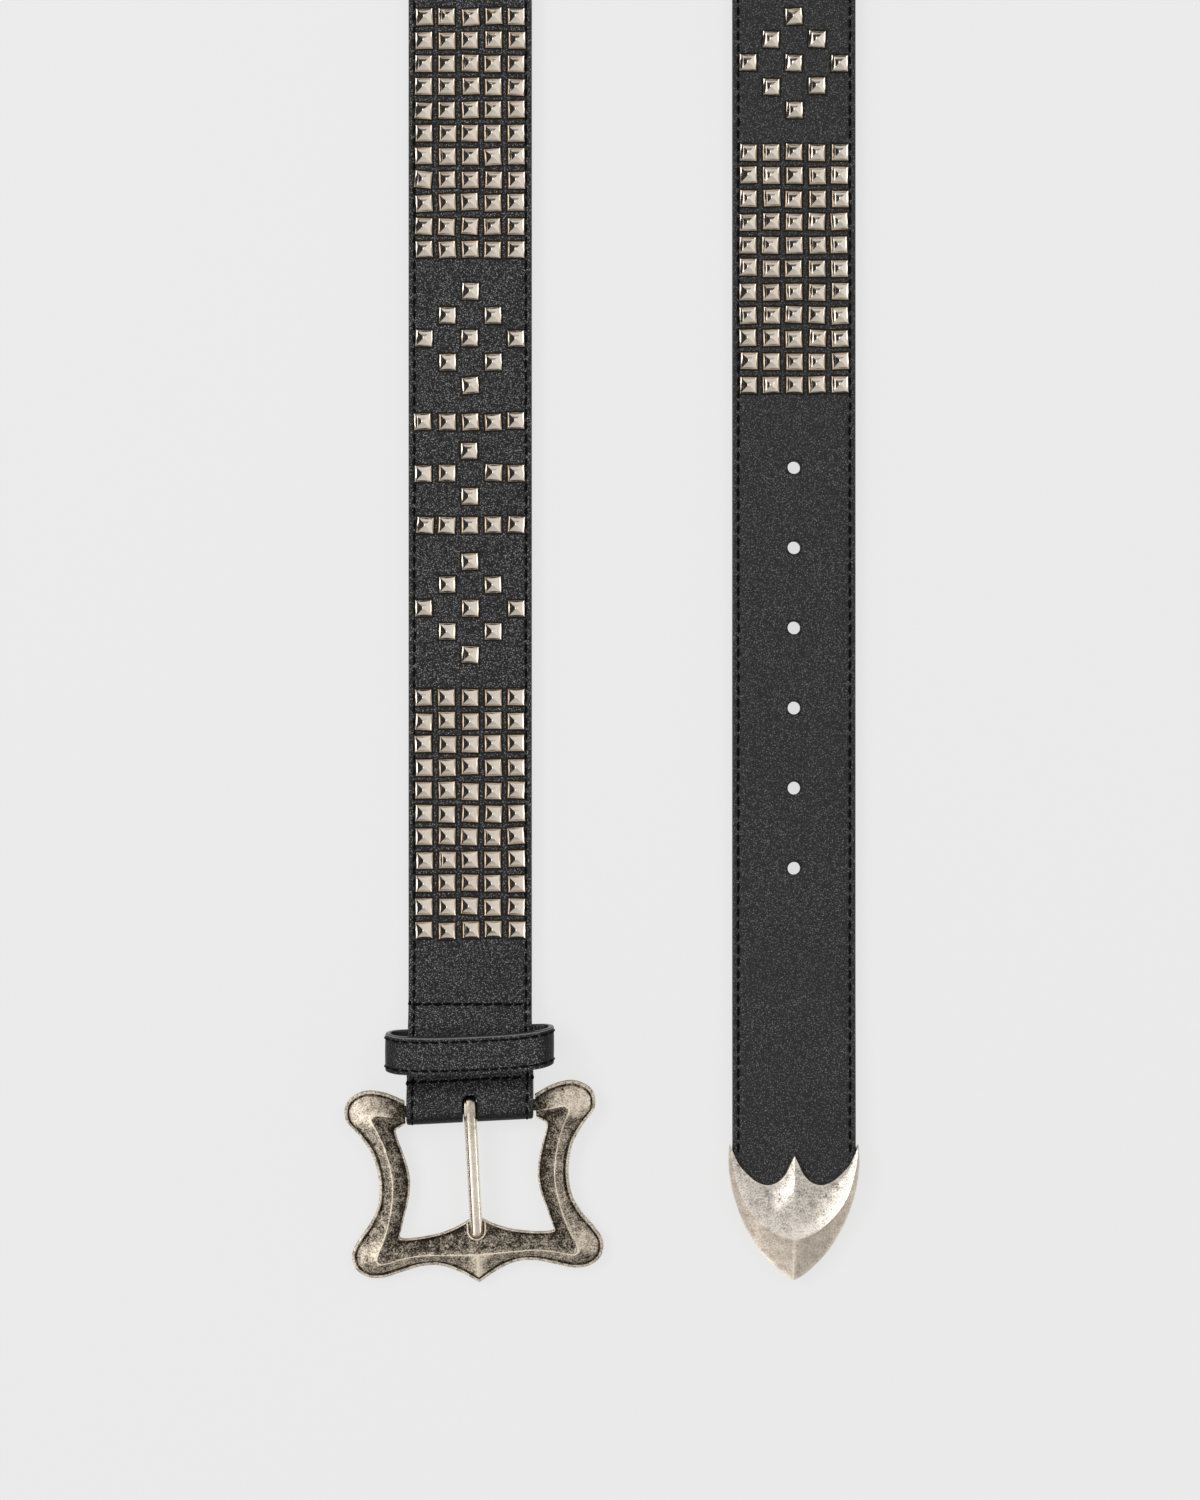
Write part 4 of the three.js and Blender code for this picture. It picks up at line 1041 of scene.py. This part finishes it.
# %% Outlines of the frame
# Across and down are shares of the frame's half width and of its reach.
FRAME_HALF_WIDTH = 39.2
FRAME_REACH = 54.6
FRAME_OUTER = [(0.52, -0.06), (0.676, -0.112), (0.842, -0.126), (0.977, -0.066), (0.992, 0.029), (0.906, 0.112),
               (0.809, 0.22), (0.763, 0.339), (0.755, 0.43), (0.778, 0.54), (0.849, 0.637), (0.939, 0.72),
               (1, 0.802), (0.98, 0.883), (0.893, 0.934), (0.768, 0.945), (0.612, 0.918), (0.446, 0.89),
               (0.306, 0.892), (0.158, 0.932), (0, 1)]
FRAME_RIDGE = [(0.531, 0.033), (0.638, 0.022), (0.76, 0.013), (0.786, 0.029), (0.778, 0.051), (0.747, 0.099),
               (0.696, 0.194), (0.656, 0.321), (0.645, 0.43), (0.661, 0.531), (0.699, 0.647), (0.75, 0.747),
               (0.793, 0.813), (0.801, 0.846), (0.783, 0.863), (0.727, 0.861), (0.602, 0.839), (0.459, 0.826),
               (0.306, 0.828), (0.153, 0.833), (0, 0.837)]
FRAME_INNER = [(0.52, 0.071), (0.566, 0.09), (0.592, 0.101), (0.602, 0.114), (0.599, 0.132), (0.587, 0.165),
               (0.556, 0.234), (0.518, 0.339), (0.51, 0.421), (0.533, 0.52), (0.574, 0.615), (0.602, 0.685),
               (0.615, 0.714), (0.612, 0.722), (0.599, 0.727), (0.561, 0.731), (0.472, 0.729), (0.37, 0.72),
               (0.255, 0.703), (0.128, 0.668), (0, 0.615)]
FRAME_STEPS = 10
UNDERSIDE, EDGE_TOP, RIDGE_TOP = -2.3, 0.3, 2.7


def frame_curve(shares):
    drawn = np.array(shares) * (FRAME_HALF_WIDTH, -FRAME_REACH)
    return smooth_through(drawn, FRAME_STEPS)


outer, ridge, inner = frame_curve(FRAME_OUTER), frame_curve(FRAME_RIDGE), frame_curve(FRAME_INNER)

# %% The frame's section
# Each row: which outline it is measured from, how far in from it in millimetres or, beyond 10, as
# a share of the slope in percent, the height as a share from edge top to ridge or an absolute one,
# and the relief there.
FRAME_SECTION = [
    ("outer", 0.0, "at", -1.75, 0.35),
    ("outer", 0.5, "at", UNDERSIDE, 0.45),
    ("inner", 0.5, "at", UNDERSIDE, 0.45),
    ("inner", 0.0, "at", -1.8, 0.35),
    ("inner", 0.0, "at", 0.05, 0.50),
    ("inner", 0.12, "at", 0.26, 0.66),
    ("inner", 0.48, "at", 0.32, 0.66),
    ("inner", 0.62, "at", 0.16, 0.25),
    ("inner", 0.80, "at", -0.04, 0.00),
    ("inner", 1.05, "at", 0.0, 0.00),
    ("inner", 1.35, "rise", 0.07, 0.04),
    ("inner", 34, "rise", 0.20, 0.10),
    ("inner", 58, "rise", 0.42, 0.14),
    ("inner", 80, "rise", 0.70, 0.20),
    ("inner", 95, "rise", 0.93, 0.32),
    ("inner", 99, "rise", 1.0, 1.0),
    ("outer", 99, "rise", 1.0, 1.0),
    ("outer", 95, "rise", 0.95, 0.45),
    ("outer", 80, "rise", 0.80, 0.34),
    ("outer", 60, "rise", 0.60, 0.32),
    ("outer", 42, "rise", 0.42, 0.32),
    ("outer", 2.1, "rise", 0.20, 0.28),
    ("outer", 1.66, "rise", 0.06, 0.12),
    ("outer", 1.44, "at", 0.10, 0.00),
    ("outer", 1.18, "at", 0.04, 0.00),
    ("outer", 1.02, "at", 0.24, 0.25),
    ("outer", 0.88, "at", 0.42, 0.62),
    ("outer", 0.35, "at", 0.46, 0.64),
    ("outer", 0.08, "at", 0.30, 0.60),
    ("outer", 0.0, "at", 0.0, 0.50),
    ("outer", 0.0, "at", -0.7, 0.45),
]
LOBE_SLOPE = (6.5, 9.5)
RIB_WIDTH = 3.2
RIB_HEIGHT = 0.55


def frame_ring(i):
    """One section of the frame: its points, each with its relief."""
    share = min(1.0, i / FRAME_STEPS)
    crest = EDGE_TOP + (RIDGE_TOP - EDGE_TOP) * (0.6 + 0.4 * min(1.0, 1.8 * share))
    lobe = smooth_ramp(np.linalg.norm(ridge[i] - outer[i]), *LOBE_SLOPE) * share
    rib = max(0.0, 1 - abs(outer[i][0]) / RIB_WIDTH)
    ring = []
    for start, inward, way, value, clean in FRAME_SECTION:
        here = outer[i] if start == "outer" else inner[i]
        reach = np.linalg.norm(ridge[i] - here)
        shrink = min(1.0, reach / 3.2)
        part = inward / 100 if inward > 10 else min(0.45, inward * shrink / reach)
        x, y = here + (ridge[i] - here) * part
        height = value if way == "at" else EDGE_TOP + (crest - EDGE_TOP) * value
        if way == "rise":
            clean *= 0.35 + 0.65 * smooth_ramp(i / FRAME_STEPS, 0.4, 1.6)
        on_slope = start == "outer" and way == "rise" and value < 0.97
        if on_slope:
            height += RIB_HEIGHT * rib * (1 - value)
            clean += 0.55 * lobe + 0.6 * max(0.0, 1 - 6 * abs(outer[i][0]) / RIB_WIDTH)
        ring.append((x, y, height, clean))
    return ring


half_rings = np.array([frame_ring(i) for i in range(len(outer))])
other_half = half_rings[-2::-1] * (-1, 1, 1, 1)
frame_rings = np.concatenate([half_rings, other_half])
frame_relief = frame_rings[..., 3].reshape(-1)
frame_rings = frame_rings[..., :3]
drop = math.asin((bar[2] + UNDERSIDE) / FRAME_REACH)


def buckle_place(points, pitch=drop):
    """Points of the buckle's own drawing, laid on the floor and turned as the buckle is."""
    x, y, z = np.moveaxis(np.asarray(points, float), -1, 0)
    y, z = y * math.cos(pitch) - z * math.sin(pitch), y * math.sin(pitch) + z * math.cos(pitch)
    x, y = x * math.cos(BUCKLE_YAW) - y * math.sin(BUCKLE_YAW), x * math.sin(BUCKLE_YAW) + y * math.cos(BUCKLE_YAW)
    return np.stack([x, y, z], -1) + bar


print("frame tips down by", round(math.degrees(drop), 2), "degrees")

# %% The frame's mesh
points = buckle_place(frame_rings.reshape(-1, 3))
faces = loft_faces(len(frame_rings), len(FRAME_SECTION))
casting = make_piece("frame_casting", points, faces, [antique_silver], "buckle",
                     sharp=38, relief_and_shade=frame_relief)
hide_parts("buckle_frame")
casting_tree = BVHTree.FromPolygons([tuple(p) for p in frame_rings.reshape(-1, 3)], faces)


# %% Bar
def rod(radius, length, rings_at, sides=32):
    turn = np.linspace(0, 2 * math.pi, sides, endpoint=False)
    return np.array([[(x, r * math.cos(a), r * math.sin(a)) for a in turn] for x, r in rings_at])


half_bar = 20.6
bar_rings = rod(BAR_RADIUS, half_bar, [(-half_bar, BAR_RADIUS), (half_bar, BAR_RADIUS)])
bar_faces = [tuple(f) for f in loft_faces(2, 32)]
make_piece("bar", buckle_place(bar_rings.reshape(-1, 3)), bar_faces, [antique_silver], "buckle",
           relief_and_shade=np.full(64, 0.1))

# %% [markdown]
# ## The prong and its notch
# The prong is a round rod. One end is curled flat round the bar, and the other rests in a notch of
# the frame's far side. The notch is cut with a round-ended rod, and a low lip of metal stands round
# it, as the file leaves it on a real casting.

# %% Round-ended rods along the buckle
PRONG_RADIUS = 2.0
PRONG_LENGTH = 40.3
PRONG_AXIS = 2.0


def rod_rings(radius, start, end, sides=28, taper=None):
    """Rings of a rod with round ends that lies along the buckle, from its distances to the bar."""
    turn = np.linspace(0, 2 * math.pi, sides, endpoint=False)
    cap = np.radians(np.linspace(88, 0, 9))
    near = [(start + radius * (1 - math.sin(a)), math.cos(a)) for a in cap]
    far = [(end - radius * (1 - math.sin(a)), math.cos(a)) for a in cap[::-1]]
    middle = [(distance, 1.0) for distance in np.linspace(start + radius, end - radius, 26)[1:-1]]
    rings = []
    for distance, share in near + middle + far:
        size = radius * share * (taper(distance) if taper else 1.0)
        rings.append([(size * math.sin(a), -distance, PRONG_AXIS + size * math.cos(a)) for a in turn])
    return np.array(rings)


notch_rings = rod_rings(PRONG_RADIUS + 0.35, 18, PRONG_LENGTH + 0.35)
notch = plain_solid("notch_cutter", buckle_place(notch_rings.reshape(-1, 3)),
                    loft_faces(len(notch_rings), 28))
cut_with(casting, [notch])


# %% Lip of the notch
def on_casting(x, y):
    """The height of the frame's top at a point of its own drawing, or None beside it."""
    hit = casting_tree.ray_cast(Vector((x, y, 30)), Vector((0, 0, -1)))
    return hit[0].z if hit[0] is not None else None


LIP_REACH = PRONG_RADIUS + 0.68
end_y = -(PRONG_LENGTH - PRONG_RADIUS)
lip = []
for y in np.linspace(end_y + 3.2, end_y, 7)[:-1]:
    lip.append((-LIP_REACH, y))
for angle in np.radians(np.linspace(180, 360, 25)):
    lip.append((LIP_REACH * math.cos(angle), end_y + LIP_REACH * math.sin(angle)))
for y in np.linspace(end_y, end_y + 3.2, 7)[1:]:
    lip.append((LIP_REACH, y))
lip = [(x, y, on_casting(x, y)) for x, y in lip]
lip = np.array([p for p in lip if p[2] is not None])
lip[:, 2] += 0.02
lip_world = buckle_place(lip)[None]
lip_up = np.broadcast_to([0.0, 0.0, 1.0], lip_world.shape)
lip_points, lip_faces = tubes(lip_world, lip_up, 0.4, sides=10)
make_piece("notch_lip", lip_points, lip_faces, [antique_silver], "buckle", sharp=80,
           relief_and_shade=np.full(len(lip_points), 0.85))

# %% The prong's mesh
def prong_size(distance):
    """The rod is a little flattened near the bar and full further out."""
    return 0.96 + 0.04 * float(smooth_ramp(distance, 2, 12))


PRONG_BACK = 3.7
shaft = rod_rings(PRONG_RADIUS, -PRONG_BACK, PRONG_LENGTH, taper=prong_size)
shaft_faces = outward(shaft.reshape(-1, 3), loft_faces(len(shaft), 28))
along_shaft = -shaft[:, 0, 1]
shaft_relief = 0.46 + 0.44 * smooth_ramp(along_shaft, 0, 14) - 0.2 * smooth_ramp(along_shaft, 28, 38)
shaft_relief = np.repeat(shaft_relief, 28)
eye_turn = np.linspace(0, 2 * math.pi, 48, endpoint=False)
EYE_OUTLINE = [(-1.95, 2.1), (-2.0, 2.3), (-2.0, 3.5), (-1.8, 3.85), (-1.4, 4.0), (0, 4.02), (1.4, 4.0), (1.8, 3.85),
               (2.0, 3.5), (2.0, 2.3), (1.95, 2.1)]
eye = np.array([[(x, r * math.cos(a), r * math.sin(a)) for x, r in EYE_OUTLINE] for a in eye_turn])
eye_faces = outward(eye.reshape(-1, 3), loft_faces(48, len(EYE_OUTLINE), closed_path=True))
points = np.vstack([shaft.reshape(-1, 3), eye.reshape(-1, 3)])
faces = shaft_faces + [tuple(v + len(shaft) * 28 for v in f) for f in eye_faces]
prong_relief = np.concatenate([shaft_relief, np.full(48 * len(EYE_OUTLINE), 0.6)])
prong = make_piece("prong_rod", buckle_place(points), faces, [prong_nickel], "prong", sharp=45,
                   relief_and_shade=prong_relief)
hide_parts("prong")

# %% [markdown]
# ## The metal tip
# The tip is a cast cap. A crescent crest divides it: below it the sides slope down to the rim, and
# above it two bowls are scooped out on either side of a sharp middle rib. Rim, crest and mouth are
# three curves again, and the section between them carries the bowl and the rib.

# %% Outlines of the tip
CAP_HALF_WIDTH = 20.4
CAP_RIM = [(0.985, 1), (1, 0.869), (0.96, 0.702), (0.867, 0.536), (0.719, 0.369), (0.522, 0.219), (0.296, 0.1),
           (0.123, 0.032), (0, 0)]
CAP_CREST = [(0.975, 0.994), (0.946, 0.864), (0.877, 0.719), (0.765, 0.586), (0.573, 0.464), (0.358, 0.376),
             (0.167, 0.331), (0.069, 0.319), (0, 0.317)]
CAP_MOUTH = [(0.965, 0.985), (0.848, 0.864), (0.72, 0.793), (0.573, 0.736), (0.412, 0.712), (0.272, 0.731),
             (0.142, 0.793), (0.059, 0.876), (0, 0.938)]
CAP_RIB = [0, 0, 0, 0, 0.05, 0.15, 0.4, 0.7, 1]
CAP_STEPS = 12
MOUTH_TOP, CREST_TOP, RIM_TOP = 6.1, 7.6, 4.0


def cap_curve(shares):
    return smooth_through(np.array(shares) * (CAP_HALF_WIDTH, CAP_LENGTH), CAP_STEPS)


rim, crest, mouth = cap_curve(CAP_RIM), cap_curve(CAP_CREST), cap_curve(CAP_MOUTH)
rib = smooth_through([(r, 0) for r in CAP_RIB], CAP_STEPS)[:, 0].clip(0, 1)
print("tip outline:", len(rim), "stations")


# %% The tip's section
BOWL_SINK = 0.8
RIB_TOP = 8.0
RIB_REACH = 6.8
STEEPEST_WALL = 0.44
HORN_SLOPE = 0.32
KEEL_HEIGHT = 0.4
KEEL_WIDTH = 3.5
BOWL_STEPS = [(0.0, 0.85), (0.015, 0.98), (0.04, 0.75), (0.1, 0.66), (0.17, 0.62), (0.25, 0.62), (0.34, 0.63),
              (0.43, 0.64), (0.52, 0.66), (0.61, 0.68), (0.7, 0.72), (0.78, 0.75), (0.85, 0.78), (0.91, 0.8),
              (0.96, 0.85)]
SLOPE_STEPS = [(0.0, 0.85), (0.03, 0.5), (0.07, 0.4), (0.14, 0.46), (0.25, 0.48), (0.45, 0.46), (0.65, 0.46), (0.85, 0.5),
               (0.95, 0.7), (1.0, 0.85)]


def cap_ring(i):
    """One section of the cap: out along its top from the mouth to the rim, and back underneath."""
    share = min(1.0, i / CAP_STEPS)
    slope = np.linalg.norm(rim[i] - crest[i])
    wide = max(1e-6, np.linalg.norm(crest[i] - mouth[i]))
    along_crest = crest[min(i + 1, len(crest) - 1)] - crest[max(i - 1, 0)]
    along_crest = along_crest / np.linalg.norm(along_crest)
    if i == len(crest) - 1:
        along_crest = np.array([1.0, 0.0])
    over_crest = crest[i] - mouth[i]
    square_on = abs(over_crest[0] * along_crest[1] - over_crest[1] * along_crest[0])
    crest_top = MOUTH_TOP + min(CREST_TOP - MOUTH_TOP, HORN_SLOPE * square_on)
    sink = BOWL_SINK * min(1.0, square_on / 9)
    climb = crest_top - MOUTH_TOP + sink
    power = min(5.0, max(1.05, STEEPEST_WALL * square_on / max(1e-6, climb)))
    ring = []
    for t, clean in BOWL_STEPS:
        x, y = mouth[i] + (crest[i] - mouth[i]) * t
        top = MOUTH_TOP - sink * smooth_ramp(t, 0, 0.25) + climb * t ** power
        rib_here = max(0.0, 1 - abs(x) / RIB_REACH) ** 1.15 * (1 - smooth_ramp(t, 0.35, 0.95))
        top = max(top, top + (RIB_TOP - top) * rib_here * min(1.0, share))
        if t == 0.0:
            top -= 0.25
        ring.append((x, y, top, clean))
    for t, clean in SLOPE_STEPS:
        x, y = crest[i] + (rim[i] - crest[i]) * t
        fall = 0.62 * t + 0.38 * t * t
        keel = KEEL_HEIGHT * max(0.0, 1 - abs(x) / KEEL_WIDTH) * math.sin(math.pi * min(1.0, t * 0.8))
        bright = 0.3 * max(0.0, 1 - 4 * abs(x) / KEEL_WIDTH)
        ring.append((x, y, crest_top - (crest_top - RIM_TOP) * fall + keel, clean + bright))
    ring.append((*rim[i], RIM_TOP - 0.5, 0.75))
    ring.append((*rim[i], 0.4, 0.5))
    inward = (mouth[i] - rim[i]) / max(1e-6, np.linalg.norm(mouth[i] - rim[i]))
    ring.append((*(rim[i] + inward * min(0.4, slope * 0.3)), 0.0, 0.5))
    ring.append((*mouth[i], 0.0, 0.5))
    return ring


half_rings = np.array([cap_ring(i) for i in range(len(rim))])
other_half = half_rings[-2::-1] * (-1, 1, 1, 1)
cap_rings = np.concatenate([half_rings, other_half])
cap_points = cap_rings[..., :3].reshape(-1, 3) + (bar[0] + 2 * LEG_RADIUS, bar[1] - POINT_BELOW_BAR, 0)
cap_faces = loft_faces(len(cap_rings), cap_rings.shape[1])
below_crest = np.ones(cap_rings.shape[1], int)
below_crest[:len(BOWL_STEPS)] = 0
cap = make_piece("tip_casting", cap_points, cap_faces, [cap_silver, matt_silver], "strap",
                 finish_of_face=np.concatenate([np.tile(below_crest, len(cap_rings) - 1), [1, 1]]), sharp=24,
                 relief_and_shade=cap_rings[..., 3].reshape(-1))
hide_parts("tip_cap")

# %% The pocket for the strap's end
pocket_outline = np.array([(-11.5, 15.7), (11.5, 15.7), (19.5, 33.7), (19.5, 60), (-19.5, 60), (-19.5, 33.7)])
pocket_rings = [np.column_stack([pocket_outline, np.full(6, z)]) for z in (0.8, 5.2)]
pocket_points = np.vstack(pocket_rings) + (bar[0] + 2 * LEG_RADIUS, bar[1] - POINT_BELOW_BAR, 0)
cut_with(cap, [plain_solid("pocket_cutter", pocket_points, loft_faces(2, 6))])
